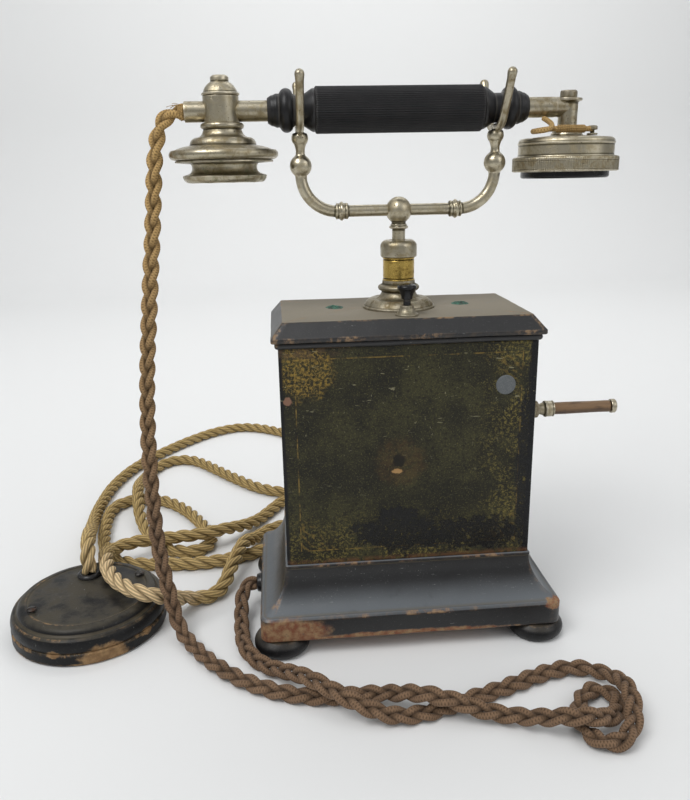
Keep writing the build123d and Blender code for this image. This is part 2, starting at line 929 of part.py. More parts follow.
RINGER_X = -50.0
GONG_Y = 19.0
GONG_RIM = 148.0
with BuildPart() as gongs:
    for side in (-1, 1):
        gong = turned(
            RINGER_X,
            side * GONG_Y,
            (13.1, GONG_RIM),
            (14.5, GONG_RIM),
            ((12.6, GONG_RIM + 6.5), (4.0, GONG_RIM + 11)),
            (0, GONG_RIM + 11),
            (0, GONG_RIM + 9.6),
            (4.0, GONG_RIM + 9.6),
            ((11.4, GONG_RIM + 5.6), (13.1, GONG_RIM)),
        )
        add(gong.part)
keep(gongs, "gongs")

RINGER_BRIDGE = 101.0
with BuildPart() as ringer_coils:
    for side in (-1, 1):
        coil = turned(
            RINGER_X,
            side * 14,
            (0, SHELF_TOP),
            (9, SHELF_TOP),
            (9, RINGER_BRIDGE),
            (0, RINGER_BRIDGE),
        )
        add(coil.part)
keep(ringer_coils, "ringer_coils")

HAMMER_PIVOT = 110.0
with BuildPart() as hammer:
    add(
        turned(
            RINGER_X, 0, (0, HAMMER_PIVOT + 2), (1, HAMMER_PIVOT + 2), (1, GONG_RIM), (0, GONG_RIM)
        ).part
    )
    with Locations((RINGER_X, 0, GONG_RIM + 1.5)):
        Sphere(3.0)
    with Locations((RINGER_X, 0, HAMMER_PIVOT)):
        Box(6, 5, 6)
    drill((RINGER_X - 5, 0, HAMMER_PIVOT), (RINGER_X + 5, 0, HAMMER_PIVOT), 1.05)
keep(hammer, "hammer")

with BuildPart() as ringer_frame:
    add(block((RINGER_X - 9, -26, RINGER_BRIDGE), (RINGER_X + 9, 26, RINGER_BRIDGE + 3)).part)
    for side in (-1, 1):
        add(
            turned(
                RINGER_X,
                side * GONG_Y,
                (0, RINGER_BRIDGE + 2),
                (2, RINGER_BRIDGE + 2),
                (2, GONG_RIM + 9.5),
                (0, GONG_RIM + 9.5),
            ).part
        )
        near, far = sorted((RINGER_X + side * 4, RINGER_X + side * 6))
        add(block((near, -3, RINGER_BRIDGE + 2), (far, 3, HAMMER_PIVOT + 3)).part)
    with BuildSketch(Plane.YZ.offset(RINGER_X - 6)):
        with Locations((0, HAMMER_PIVOT)):
            Circle(1.0)
    extrude(amount=12)
keep(ringer_frame, "ringer_frame")

# ---- Induction coil inside the plinth ----

induction_coil = turned_along_x(
    0,
    36,
    (-45, 0),
    (-45, 13),
    (-42, 13),
    (-42, 10),
    (28, 10),
    (28, 13),
    (31, 13),
    (31, 0),
)
keep(induction_coil, "induction_coil")

# ---- Cord inlets and the wall rosette at the far end of the line cord ----

PLINTH_SIDE = HALF_WIDTH + PLINTH_OUT
PLINTH_BACK = HALF_DEPTH + PLINTH_OUT
with BuildPart() as cord_bushes:
    add(
        turned_along_x(
            CORD_INLET_Y,
            CORD_INLET_Z,
            (-PLINTH_SIDE - 3.7, 0),
            (-PLINTH_SIDE - 3.7, 5.6),
            (-PLINTH_SIDE - 2.6, 6.6),
            (-PLINTH_SIDE, 7.2),
            (-PLINTH_SIDE, 0),
        ).part
    )
    with BuildSketch(Plane.XZ.offset(-PLINTH_BACK)):
        with Locations((LINE_INLET_X, LINE_INLET_Z)):
            Circle(7.4)
    extrude(amount=-LINE_INLET_OUT, taper=14)
keep(cord_bushes, "cord_bushes")

RIM_HEIGHT = 9.0
rosette_base = turned(
    ROSETTE_X,
    ROSETTE_Y,
    (0, 0),
    (ROSETTE_RADIUS - 1.5, 0),
    (ROSETTE_RADIUS, 1.5),
    (ROSETTE_RADIUS, RIM_HEIGHT - 1.0),
    (ROSETTE_RADIUS - 1.0, RIM_HEIGHT),
    (0, RIM_HEIGHT),
)
keep(rosette_base, "rosette_base")

INLET_X, INLET_Y = ROSETTE_INLET
with BuildPart() as rosette_cover:
    add(
        turned(
            ROSETTE_X,
            ROSETTE_Y,
            (0, RIM_HEIGHT + 8),
            (36, RIM_HEIGHT + 8),
            (43, RIM_HEIGHT),
            (ROSETTE_RADIUS - 1.6, RIM_HEIGHT),
            ((ROSETTE_RADIUS - 0.4, 14.0), (ROSETTE_RADIUS - 2.0, 18.6)),
            (ROSETTE_RADIUS - 5.5, 19.8),
            ((ROSETTE_RADIUS - 8.0, 22.6), (ROSETTE_RADIUS - 11.5, ROSETTE_TOP)),
            ((20, ROSETTE_TOP + 1.0), (0, ROSETTE_TOP + 1.2)),
        ).part
    )
    drill((INLET_X, INLET_Y, 10), (INLET_X, INLET_Y, 40), 6.0)
keep(rosette_cover, "rosette_cover")

rosette_bush = turned(
    INLET_X,
    INLET_Y,
    (0, 17.2),
    (5.9, 17.2),
    (5.9, ROSETTE_TOP + 1.3),
    (8.4, ROSETTE_TOP + 1.3),
    (8.4, ROSETTE_TOP + 3.4),
    (7.2, ROSETTE_TOP + 4.4),
    (0, ROSETTE_TOP + 4.4),
)
keep(rosette_bush, "rosette_bush")

with BuildPart() as rosette_screws:
    for x, y in ((-252.0, -27.0), (-188.0, 13.0)):
        add(turned(x, y, (0, 24.5), (3.4, 24.5), (3.4, 25.4), (2.2, 26.2), (0, 26.2)).part)
keep(rosette_screws, "rosette_screws")

# ---- Cords ----

# From the left end of the handset's tube, round its lip and down to just above the table.
HANDSET_CORD_DROP = [
    (-129.3, 0, 337.5),
    (-138, 0, 337.5),
    (-145.5, -0.5, 328.5),
    (-149, -1.5, 312),
    (-151.5, -2.5, 289),
    (-154.8, -4.5, 260),
    (-158.5, -7.5, 229),
    (-162.8, -10.5, 193),
    (-166.3, -14, 152),
    (-167.3, -18, 110),
    (-166.5, -21.5, 74),
    (-163.5, -24.5, 45),
    (-159.5, -27.5, 24.5),
]
# Along the table in front, a double loop at the right, back over itself and up into the plinth.
HANDSET_CORD_FLOOR = [
    (-159.4, -27.6, 24),
    (-157.4, -29.1, 13.7),
    (-152.5, -38, 5.9),
    (-141.5, -56, 5),
    (-127.5, -74.5, 5),
    (-108, -93, 5),
    (-84.5, -106.5, 5),
    (-60.5, -112.5, 5),
    (-41.5, -111.5, 5),
    (-25, -117.5, 9),
    (-9, -127.5, 15.8),
    (8, -135, 15.8),
    (24, -137, 9),
    (40, -140, 6),
    (54, -148, 9.5),
    (68, -156.5, 15.8),
    (83, -158, 15.8),
    (95, -152, 9),
    (104, -143, 5),
    (108, -133.5, 5),
    (105, -125, 5),
    (97.5, -122, 5),
    (89.5, -127, 5),
    (83, -136, 5),
    (79, -147, 5),
    (79.5, -158.5, 5),
    (86, -166.5, 5),
    (96, -167, 6),
    (104.5, -160, 10),
    (109.5, -148, 15),
    (112.5, -131, 15),
    (112, -116, 8),
    (104.5, -104.5, 5),
    (91, -100.5, 5),
    (73, -104.5, 5),
    (55, -112, 5),
    (37.5, -118.5, 5),
    (20.5, -123.5, 5),
    (4.5, -129.5, 5),
    (-11.5, -133.5, 5),
    (-27, -134, 7),
    (-43, -130, 13),
    (-57, -120.5, 15.8),
    (-71, -106, 15.8),
    (-83.5, -90.5, 9),
    (-98.5, -77.5, 5),
    (-110.5, -58.5, 5),
    (-113, -37, 5),
    (-113.8, -22, 8.5),
    (-113.5, -11.5, 14),
    (-111.8, -4.5, 18),
    (-107.8, CORD_INLET_Y, CORD_INLET_Z),
    (-102.7, CORD_INLET_Y, CORD_INLET_Z),
]
# From the back of the plinth, hidden behind the case, out to the left over the rosette and back,
# under the plinth's corner, a small loop and a large one, and at last down into the rosette.
LINE_CORD_ROUTE = [
    (LINE_INLET_X, 71.3, LINE_INLET_Z),
    (LINE_INLET_X, 83, LINE_INLET_Z),
    (-28.5, 103, 11),
    (-27, 126, 5.2),
    (-33.5, 150, 5.2),
    (-44, 167, 5.2),
    (-58, 176.5, 5.2),
    (-73.5, 177, 5.2),
    (-86, 168.5, 5.2),
    (-95, 151, 5.2),
    (-105, 133.5, 5.2),
    (-118, 114, 9.5),
    (-133, 96.5, 16.2),
    (-150, 89, 16.2),
    (-168.5, 86.5, 16.2),
    (-187, 85, 16.2),
    (-204, 82, 16.2),
    (-216.5, 73, 16.6),
    (-220.5, 57.5, 20),
    (-216.5, 36, 31),
    (-209.5, 10, 31.6),
    (-202.5, -4, 31.6),
    (-193, -15.5, 31.6),
    (-181, -24.5, 31.2),
    (-169.5, -22.5, 26),
    (-161.5, -10.5, 17.5),
    (-155, 1, 9.8),
    (-146, 6.5, 5.4),
    (-136.5, 9.5, 5.2),
    (-129, 18, 6.5),
    (-124, 34, 13),
    (-119.5, 52, 16.4),
    (-114.5, 73, 16.4),
    (-108.5, 90, 8.5),
    (-102.5, 104, 5.2),
    (-94, 115, 5.2),
    (-82, 120, 5.2),
    (-71.5, 115, 5.2),
    (-66, 103, 5.2),
    (-70.5, 91, 5.2),
    (-82.5, 83, 5.2),
    (-99, 76, 5.2),
    (-116, 68, 5.2),
    (-134, 62, 5.2),
    (-152, 59.5, 5.2),
    (-170, 61.5, 5.2),
    (-187, 62.5, 5.2),
    (-204, 65, 5.2),
    (-219, 73.5, 5.2),
    (-229.5, 88.5, 5.2),
    (-235.5, 108, 5.2),
    (-239.5, 131, 5.2),
    (-242, 156, 5.2),
    (-241.5, 175, 5.2),
    (-234, 188.5, 5.2),
    (-220.5, 194, 5.2),
    (-204, 191.5, 5.2),
    (-186.5, 180, 5.2),
    (-171.5, 161, 5.2),
    (-159.5, 140, 5.2),
    (-150, 120, 5.2),
    (-143.5, 102, 5.2),
    (-146, 87.5, 5.2),
    (-157.5, 79.5, 5.2),
    (-173, 82.5, 5.2),
    (-188, 97, 5.2),
    (-200, 117, 5.2),
    (-210, 141, 9),
    (-216.5, 168, 16.2),
    (-221, 196, 16.4),
    (-224.5, 226, 9),
    (-222, 255, 5.2),
    (-215, 278, 5.2),
    (-204, 292, 5.2),
    (-189, 296, 5.2),
    (-173, 288, 5.2),
    (-151, 259.5, 5.2),
    (-128, 229.5, 5.2),
    (-105.5, 204.5, 5.2),
    (-83.5, 191.5, 5.2),
    (-60, 191, 5.2),
    (-39, 203, 5.2),
    (-24.5, 228, 5.2),
    (-19, 261, 5.2),
    (-27, 296, 5.2),
    (-44, 327, 5.2),
    (-64, 352, 5.2),
    (-85, 374, 5.2),
    (-109, 392.5, 5.2),
    (-136, 399, 5.2),
    (-163.5, 385, 5.2),
    (-189, 359, 5.2),
    (-211.5, 328, 5.2),
    (-231, 297, 5.2),
    (-244.5, 264, 5.2),
    (-252.5, 229, 5.2),
    (-254.5, 193, 5.2),
    (-253, 158, 7.5),
    (-247.5, 123, 13),
    (-240.5, 91, 24),
    (-233.5, 62, 36),
    (-227.5, 37, 44),
    (-223.5, 20.5, 47),
    (*ROSETTE_INLET, 40),
    (*ROSETTE_INLET, ROSETTE_TOP + 4.4),
]
cord_tube("handset_cord_drop", HANDSET_CORD_DROP, HANDSET_CORD)
cord_tube("handset_cord_floor", HANDSET_CORD_FLOOR, HANDSET_CORD)
cord_tube("line_cord", LINE_CORD_ROUTE, LINE_CORD)
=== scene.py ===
"""The looks of a hand-cranked table telephone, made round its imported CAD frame. Metres, +Z up."""

import math
import random

import bmesh
import bpy
import numpy as np
from mathutils import Matrix, Vector, noise


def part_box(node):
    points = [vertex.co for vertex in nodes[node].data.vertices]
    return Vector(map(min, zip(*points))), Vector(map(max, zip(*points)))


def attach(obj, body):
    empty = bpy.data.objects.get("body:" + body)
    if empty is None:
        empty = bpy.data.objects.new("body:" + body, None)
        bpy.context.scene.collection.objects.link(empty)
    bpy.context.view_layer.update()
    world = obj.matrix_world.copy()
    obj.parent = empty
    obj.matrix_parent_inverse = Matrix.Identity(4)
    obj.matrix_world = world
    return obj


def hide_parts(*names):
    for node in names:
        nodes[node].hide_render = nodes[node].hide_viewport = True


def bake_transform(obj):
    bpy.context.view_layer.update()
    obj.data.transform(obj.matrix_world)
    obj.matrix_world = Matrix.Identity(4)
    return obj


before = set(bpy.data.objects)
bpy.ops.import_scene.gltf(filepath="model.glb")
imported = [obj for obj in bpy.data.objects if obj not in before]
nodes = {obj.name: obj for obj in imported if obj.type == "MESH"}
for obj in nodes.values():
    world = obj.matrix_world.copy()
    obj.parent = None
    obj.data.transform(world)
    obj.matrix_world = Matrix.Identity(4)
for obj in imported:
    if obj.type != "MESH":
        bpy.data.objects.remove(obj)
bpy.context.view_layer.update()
MM = 0.001


# ---- Camera, floor and light ----


def linked(name, data):
    """A new object in the scene."""
    thing = bpy.data.objects.new(name, data)
    bpy.context.scene.collection.objects.link(thing)
    return thing


def set_camera():
    """The view from in front and above, a little to the left of the middle."""
    camera = linked("camera", bpy.data.cameras.new("camera"))
    camera.data.lens = 33.92
    turn = Matrix.Rotation(math.radians(-5.285), 3, "Z")
    tip = Matrix.Rotation(math.radians(-16.478), 3, "X")
    roll = Matrix.Rotation(math.radians(2.613), 3, "Y")
    right, forward, up = (roll @ tip @ turn).col
    camera.matrix_world = Matrix((right, up, -forward)).transposed().to_4x4()
    camera.location = (-0.07692, -0.48748, 0.29977)
    bpy.context.scene.camera = camera


def set_light(name, place, aim, size, power):
    """A soft square lamp."""
    lamp = linked(name, bpy.data.lights.new(name, "AREA"))
    lamp.data.size = size
    lamp.data.energy = power
    lamp.location = place
    lamp.rotation_euler = (Vector(aim) - Vector(place)).to_track_quat("-Z", "Y").to_euler()


def set_stage():
    """A pale floor that curves up into the backdrop."""
    near, far, bend, top, side = -8.0, 1.5, 0.5, 3.0, 9.0
    line = [(near, 0.0), (far, 0.0)]
    line += [(far + bend * math.sin(a), bend - bend * math.cos(a)) for a in np.linspace(0.1, 1.57, 14)]
    line.append((far + bend, top))
    corners = [(x, y, z) for y, z in line for x in (-side, side)]
    faces = [(2 * i, 2 * i + 1, 2 * i + 3, 2 * i + 2) for i in range(len(line) - 1)]
    mesh = bpy.data.meshes.new("floor")
    mesh.from_pydata(corners, [], faces)
    for polygon in mesh.polygons:
        polygon.use_smooth = True
    floor = linked("floor", mesh)
    material = bpy.data.materials.new("pale_floor")
    material.use_nodes = True
    shader = material.node_tree.nodes["Principled BSDF"]
    shader.inputs["Base Color"].default_value = (0.76, 0.765, 0.76, 1)
    shader.inputs["Roughness"].default_value = 0.8
    mesh.materials.append(material)


def set_studio():
    """A soft studio light, brighter above than at the horizon."""
    world = bpy.data.worlds.new("studio")
    bpy.context.scene.world = world
    world.use_nodes = True
    background = world.node_tree.nodes["Background"]
    background.inputs["Color"].default_value = (0.97, 0.98, 1.0, 1)
    links = world.node_tree.links
    add = world.node_tree.nodes.new
    direction = add("ShaderNodeSeparateXYZ")
    links.new(add("ShaderNodeTexCoord").outputs["Generated"], direction.inputs[0])
    rise = add("ShaderNodeMapRange")
    links.new(direction.outputs[2], rise.inputs[0])
    for socket, number in zip(rise.inputs[1:5], (0.0, 0.6, 0.20, 0.62)):
        socket.default_value = number
    links.new(rise.outputs[0], background.inputs["Strength"])
    middle = (0, 0, 0.15)
    set_light("key", (-0.9, -0.8, 1.7), middle, 1.0, 20)
    set_light("fill", (1.5, -1.1, 1.1), middle, 1.4, 8)
    set_light("backdrop", (0.2, 0.9, 1.7), (0.1, 2.0, 0.7), 1.6, 14)
    bpy.context.scene.view_settings.view_transform = "Standard"


# ---- Materials ----


def tint(red, green, blue):
    """A colour from its 0 to 255 screen values."""
    return tuple((v / 255 / 12.92) if v < 10 else ((v / 255 + 0.055) / 1.055) ** 2.4
        for v in (red, green, blue))


# A wave texture's scale times the distance between its bands, about a tenth of pi.
WAVE_SCALE = 0.314

# The sockets of a mix node that take its two colours, and the one that gives the result.
MIX_A, MIX_B, MIX_RESULT = 6, 7, 2


class Paint:
    """A material under construction, with short names for the shader nodes that it is made of."""

    def __init__(self, name, metallic=0.0):
        self.material = bpy.data.materials.new(name)
        self.material.use_nodes = True
        self.tree = self.material.node_tree
        self.tree.nodes.clear()
        self.shader = self.add("ShaderNodeBsdfPrincipled")
        output = self.add("ShaderNodeOutputMaterial")
        self.tree.links.new(self.shader.outputs[0], output.inputs["Surface"])
        self.place = self.add("ShaderNodeTexCoord").outputs["Object"]
        self.set("Metallic", metallic)
        self.colour = None

    def add(self, kind, **settings):
        node = self.tree.nodes.new(kind)
        for key, value in settings.items():
            setattr(node, key, value)
        return node

    def feed(self, socket, value):
        """Gives a socket another socket, a number or a colour."""
        if isinstance(value, bpy.types.NodeSocket):
            self.tree.links.new(value, socket)
        elif isinstance(value, tuple) and socket.type == "RGBA":
            socket.default_value = (*value, 1.0)
        else:
            socket.default_value = value

    def set(self, name, value):
        self.feed(self.shader.inputs[name], value)

    def math(self, operation, a, b=0.0, clamp=False):
        node = self.add("ShaderNodeMath", operation=operation, use_clamp=clamp)
        self.feed(node.inputs[0], a)
        self.feed(node.inputs[1], b)
        return node.outputs[0]

    def plus(self, a, b, clamp=False):
        return self.math("ADD", a, b, clamp)

    def minus(self, a, b):
        return self.math("SUBTRACT", a, b)

    def times(self, *values):
        result = values[0]
        for value in values[1:]:
            result = self.math("MULTIPLY", result, value)
        return result

    def either(self, *values):
        result = values[0]
        for value in values[1:]:
            result = self.math("MAXIMUM", result, value)
        return result

    def flip(self, value):
        return self.math("SUBTRACT", 1.0, value, clamp=True)

    def span(self, value, low, high):
        """0 below low and 1 above high, or the other way round where low is the larger."""
        node = self.add("ShaderNodeMapRange", interpolation_type="SMOOTHSTEP")
        up = low < high
        for socket, number in zip(node.inputs[1:5], (min(low, high), max(low, high), 1 - up, up)):
            socket.default_value = float(number)
        self.feed(node.inputs[0], value)
        return node.outputs[0]

    def mix(self, amount, a, b):
        node = self.add("ShaderNodeMix", data_type="RGBA")
        self.feed(node.inputs[0], amount)
        self.feed(node.inputs[MIX_A], a)
        self.feed(node.inputs[MIX_B], b)
        return node.outputs[MIX_RESULT]

    def coat(self, where, colour, share=None):
        """Lays a colour, or a share of it, over what is painted so far."""
        where = where if share is None else self.times(where, share)
        self.colour = self.mix(where, self.colour, colour)

    def stretched(self, stretch, turn=(0, 0, 0)):
        node = self.add("ShaderNodeMapping")
        self.feed(node.inputs["Vector"], self.place)
        node.inputs["Scale"].default_value = stretch
        node.inputs["Rotation"].default_value = turn
        return node.outputs[0]

    def noise(self, size, detail=4.0, rough=0.55, vector=None, distortion=0.0):
        """Cloudy noise whose spots are about size millimetres across."""
        node = self.add("ShaderNodeTexNoise")
        self.feed(node.inputs["Vector"], vector or self.place)
        node.inputs["Scale"].default_value = 1 / (size * MM)
        node.inputs["Detail"].default_value = detail
        node.inputs["Roughness"].default_value = rough
        node.inputs["Distortion"].default_value = distortion
        return node.outputs[0]

    def spots(self, low, high, size, *cloud, **more):
        """The spots of a noise: 0 where it is below low and 1 above high."""
        return self.span(self.noise(size, *cloud, **more), low, high)

    def wave(self, size, distortion=0.0, direction="X"):
        """Bands that are size millimetres apart."""
        node = self.add("ShaderNodeTexWave", bands_direction=direction)
        self.feed(node.inputs["Vector"], self.place)
        node.inputs["Scale"].default_value = WAVE_SCALE / (size * MM)
        node.inputs["Distortion"].default_value = distortion
        return node.outputs["Fac"]

    def edge(self):
        """1 on the mesh's worn edges, -1 in its grooves, 0 on its faces."""
        return self.add("ShaderNodeAttribute", attribute_name="edge").outputs["Fac"]

    def axes(self, vector=None):
        """The three coordinates of a place, in metres."""
        node = self.add("ShaderNodeSeparateXYZ")
        self.feed(node.inputs[0], vector or self.place)
        return node.outputs

    def upward(self):
        """1 on faces that look up."""
        normal = self.add("ShaderNodeNewGeometry").outputs["Normal"]
        return self.axes(normal)[2]

    def near(self, centre, reach, ragged=0.0, size=6.0, squash=(1, 1, 1)):
        """1 at a point in millimetres and 0 outside its reach, with a ragged rim."""
        way = self.place
        for operation, other in (("SUBTRACT", [c * MM for c in centre]), ("MULTIPLY", squash),
                ("LENGTH", None)):
            node = self.add("ShaderNodeVectorMath", operation=operation)
            self.feed(node.inputs[0], way)
            if other:
                node.inputs[1].default_value = other
            way = node.outputs[0]
        distance = node.outputs["Value"]
        if ragged:
            wobble = self.minus(self.noise(size, 5, 0.65), 0.5)
            distance = self.plus(distance, self.times(wobble, ragged * MM * 2))
        return self.span(distance, reach * MM, reach * MM * 0.7)

    def done(self, rough, height, depth):
        """The material, with its colour, its roughness and a relief of a depth in millimetres."""
        self.set("Base Color", self.colour)
        self.set("Roughness", rough)
        node = self.add("ShaderNodeBump")
        node.inputs["Distance"].default_value = depth * MM
        self.feed(node.inputs["Height"], height)
        self.set("Normal", node.outputs[0])
        return self.material


BARE_WOOD = tint(146, 118, 84)
RUST_WOOD = tint(92, 66, 46)
DUST = tint(112, 104, 90)


def worn_edges(paint):
    """The broken line of bare wood along an edge."""
    fine = paint.spots(0.42, 0.60, 5.0, 5, 0.7)
    broad = paint.plus(0.12, paint.spots(0.49, 0.60, 28, 3, 0.5))
    return paint.times(paint.span(paint.edge(), 0.25, 0.85), fine, broad)


def scuffs(paint, size=1.2, low=0.66, high=0.8):
    """Fine pale scratches that run in all directions."""
    long_ways = paint.stretched((1.0, 5.0, 5.0), (0.3, 0.5, 0.4))
    cross_ways = paint.stretched((5.0, 1.0, 3.0), (1.1, -0.3, -0.6))
    first = paint.spots(low, high, size * 4, 3, 0.6, long_ways)
    second = paint.spots(low, high, size * 4, 3, 0.6, cross_ways)
    return paint.either(first, second)


def black_lacquer(name, dust_and_sheen=0.5, wear=1.0, dust_and_sheen_colour=DUST, gloss=0.28, cover=0.30, bald=(), scuffed=0.35,
        flat=0.35, rust=RUST_WOOD, sheen=0.3):
    """Old black lacquer on wood: scuffed, dusty where it looks up (on the plinth also a painted sheen),
    brown where it is rubbed through.

    How much dusting and painted sheen, wear and scuffing there is runs from 0 to 1; on the plinth the
    dusting colour is a blue-grey that paints its sheen. cover is the least cloudiness that the dusting lies
    on, and flat the least tilt. rust is the colour of its dark bare wood, and sheen the strength of its
    reflections. A bald place is a centre, a reach, a raggedness, the size of its ragged parts and a squash,
    as near() takes them.
    """
    paint = Paint(name)
    paint.set("Specular IOR Level", sheen)
    paint.colour = paint.mix(paint.noise(30, 3), tint(12, 12, 13), tint(27, 27, 28))
    speckle = paint.spots(0.60, 0.72, 1.1, 3, 0.7)
    paint.coat(speckle, tint(92, 92, 90), 0.25)
    lying = paint.span(paint.upward(), flat, 0.97)
    # Dusting where faces look up; on the plinth its blue-grey colour is also a painted sheen.
    dust_and_sheen_mask = paint.times(lying, paint.spots(cover, cover + 0.32, 14, 5, 0.6), dust_and_sheen)
    paint.coat(dust_and_sheen_mask, dust_and_sheen_colour)
    patches = paint.plus(0.35, paint.spots(0.45, 0.6, 30, 3))
    paint.coat(paint.times(scuffs(paint), patches, scuffed), tint(142, 143, 140))
    grime = paint.times(paint.span(paint.edge(), -0.2, -0.8), 0.45)
    paint.coat(grime, tint(88, 78, 58))
    bare = paint.times(worn_edges(paint), wear)
    for place in bald:
        bare = paint.either(bare, paint.times(paint.near(*place), paint.spots(0.28, 0.44, 2.6, 5, 0.75)))
    bare_colour = paint.mix(paint.spots(0.35, 0.65, 5.0, 5, 0.65), rust, BARE_WOOD)
    paint.coat(bare, bare_colour)
    rough = paint.plus(gloss, paint.times(paint.noise(9, 5, 0.65), 0.22))
    rough = paint.either(rough, paint.times(paint.either(dust_and_sheen_mask, bare), 0.8))
    return paint.done(rough, paint.minus(paint.noise(1.6, 4, 0.6), paint.times(bare, 1.4)), 0.10)


def aged_nickel(name, stain=0.5, dark=0.0, green=0.0, shine=0.29):
    """Nickel plate gone warm and cloudy, with brown spots and pits."""
    paint = Paint(name, metallic=1.0)
    paint.colour = paint.mix(paint.noise(12, 4), tint(200, 192, 172), tint(166, 157, 132))
    film = paint.spots(0.42, 0.66, 7, 6, 0.7, distortion=0.6)
    paint.coat(paint.times(film, stain), tint(134, 118, 82))
    spots = paint.spots(0.60, 0.68, 1.5, 4, 0.7)
    paint.coat(spots, tint(62, 48, 32), 0.75)
    grooves = paint.span(paint.edge(), -0.15, -0.7)
    paint.coat(grooves, tint(66, 60, 40), 0.8)
    rubbed = paint.times(paint.span(paint.edge(), 0.3, 0.9), 0.35)
    paint.coat(rubbed, tint(206, 198, 180))
    corroded = paint.spots(0.52, 0.66, 5, 5, 0.7)
    paint.coat(paint.times(corroded, green), tint(92, 108, 74))
    paint.coat(dark, tint(60, 50, 38))
    rough = paint.plus(shine, paint.times(film, 0.22))
    rough = paint.plus(rough, paint.times(spots, 0.3))
    rough = paint.plus(rough, paint.times(corroded, green * 0.4))
    metal = paint.flip(paint.times(paint.either(spots, paint.times(corroded, green)), 0.7))
    paint.set("Metallic", metal)
    return paint.done(rough, paint.minus(paint.noise(2.4, 4, 0.6), spots), 0.06)


def old_brass(name):
    """Lacquered brass with brown stains, turned in fine rings."""
    paint = Paint(name, metallic=1.0)
    paint.colour = paint.mix(paint.noise(8, 4), tint(206, 178, 100), tint(164, 136, 70))
    stains = paint.spots(0.50, 0.68, 4, 6, 0.7)
    paint.coat(stains, tint(84, 64, 30), 0.7)
    grooves = paint.span(paint.edge(), -0.1, -0.6)
    paint.coat(grooves, tint(70, 56, 28))
    rings = paint.wave(0.5, direction="Z", distortion=0.4)
    relief = paint.plus(paint.times(rings, 0.5), paint.noise(2, 3))
    return paint.done(paint.plus(0.26, paint.times(stains, 0.3)), relief, 0.03)


def verdigris(name):
    """A green crust over metal."""
    paint = Paint(name)
    crust = paint.noise(1.6, 5, 0.7)
    paint.colour = paint.mix(paint.span(crust, 0.40, 0.62), tint(34, 46, 40), tint(62, 118, 98))
    return paint.done(paint.plus(0.6, paint.times(crust, 0.3)), crust, 0.4)


def ebonite(name, brown=0.35, gloss=0.30):
    """Hard rubber: black, browned by light, dusty in its grooves."""
    paint = Paint(name)
    paint.set("Specular IOR Level", 0.38)
    faded = paint.spots(0.40, 0.70, 16, 4, 0.6)
    paint.colour = paint.mix(paint.times(faded, brown), tint(11, 11, 13), tint(30, 27, 28))
    grooves = paint.span(paint.edge(), -0.15, -0.8)
    paint.coat(grooves, tint(74, 70, 64), 0.5)
    rubbed = paint.times(paint.span(paint.edge(), 0.3, 0.9), paint.noise(4, 4, 0.6))
    paint.coat(rubbed, tint(82, 80, 78), 0.4)
    rough = paint.plus(gloss, paint.times(paint.noise(6, 5, 0.6), 0.2))
    return paint.done(rough, paint.noise(1.2, 4, 0.6), 0.04)


def turned_wood(name):
    """Worn reddish wood with its grain along X."""
    paint = Paint(name)
    grain = paint.noise(9, 5, 0.6, paint.stretched((0.08, 1.0, 1.0)), 0.5)
    paint.colour = paint.mix(paint.span(grain, 0.35, 0.65), tint(72, 52, 34), tint(126, 98, 68))
    worn = paint.spots(0.52, 0.66, 5, 5, 0.7, paint.stretched((0.35, 1, 1)))
    paint.coat(worn, tint(38, 24, 18), 0.5)
    return paint.done(paint.plus(0.36, paint.times(grain, 0.25)), grain, 0.10)


def plain_wood(name):
    """Unfinished board, with its grain along X."""
    paint = Paint(name)
    grain = paint.noise(12, 6, 0.6, paint.stretched((0.07, 1.0, 1.0)), 1.2)
    paint.colour = paint.mix(paint.span(grain, 0.3, 0.7), tint(96, 66, 40), tint(156, 116, 74))
    return paint.done(paint.plus(0.6, paint.times(grain, 0.2)), grain, 0.15)


def dark_steel(name):
    """Dark steel with rust in spots."""
    paint = Paint(name, metallic=1.0)
    rust = paint.spots(0.52, 0.70, 6, 5, 0.7)
    paint.colour = paint.mix(rust, tint(72, 70, 68), tint(88, 56, 38))
    return paint.done(paint.plus(0.40, paint.times(rust, 0.35)), paint.noise(1.5, 4), 0.08)


def wire_winding(name):
    """Silk-covered copper wire, its turns side by side along X, with painted shade between them."""
    paint = Paint(name)
    turns = paint.wave(0.6, distortion=0.2)
    # Darker between the turns: painted shade in the grooves between the round wires.
    paint.colour = paint.mix(turns, tint(58, 26, 16), tint(124, 62, 34))
    return paint.done(paint.plus(0.5, paint.times(turns, 0.2)), turns, 0.2)


def threads(paint, pitch, tilt, crossed):
    """Ridges of thread over a strand, in the strand's own along and around coordinates."""
    strand = paint.add("ShaderNodeUVMap", uv_map="strand").outputs[0]
    around, along, _ = paint.axes(strand)
    turns = paint.times(along, 1 / (pitch * MM))
    lean = paint.times(around, tilt)
    ridges = paint.math("SINE", paint.times(paint.plus(turns, lean), math.tau))
    if crossed:
        other = paint.math("SINE", paint.times(paint.minus(turns, lean), math.tau))
        ridges = paint.either(ridges, other)
    return paint.span(ridges, -0.9, 1.0)


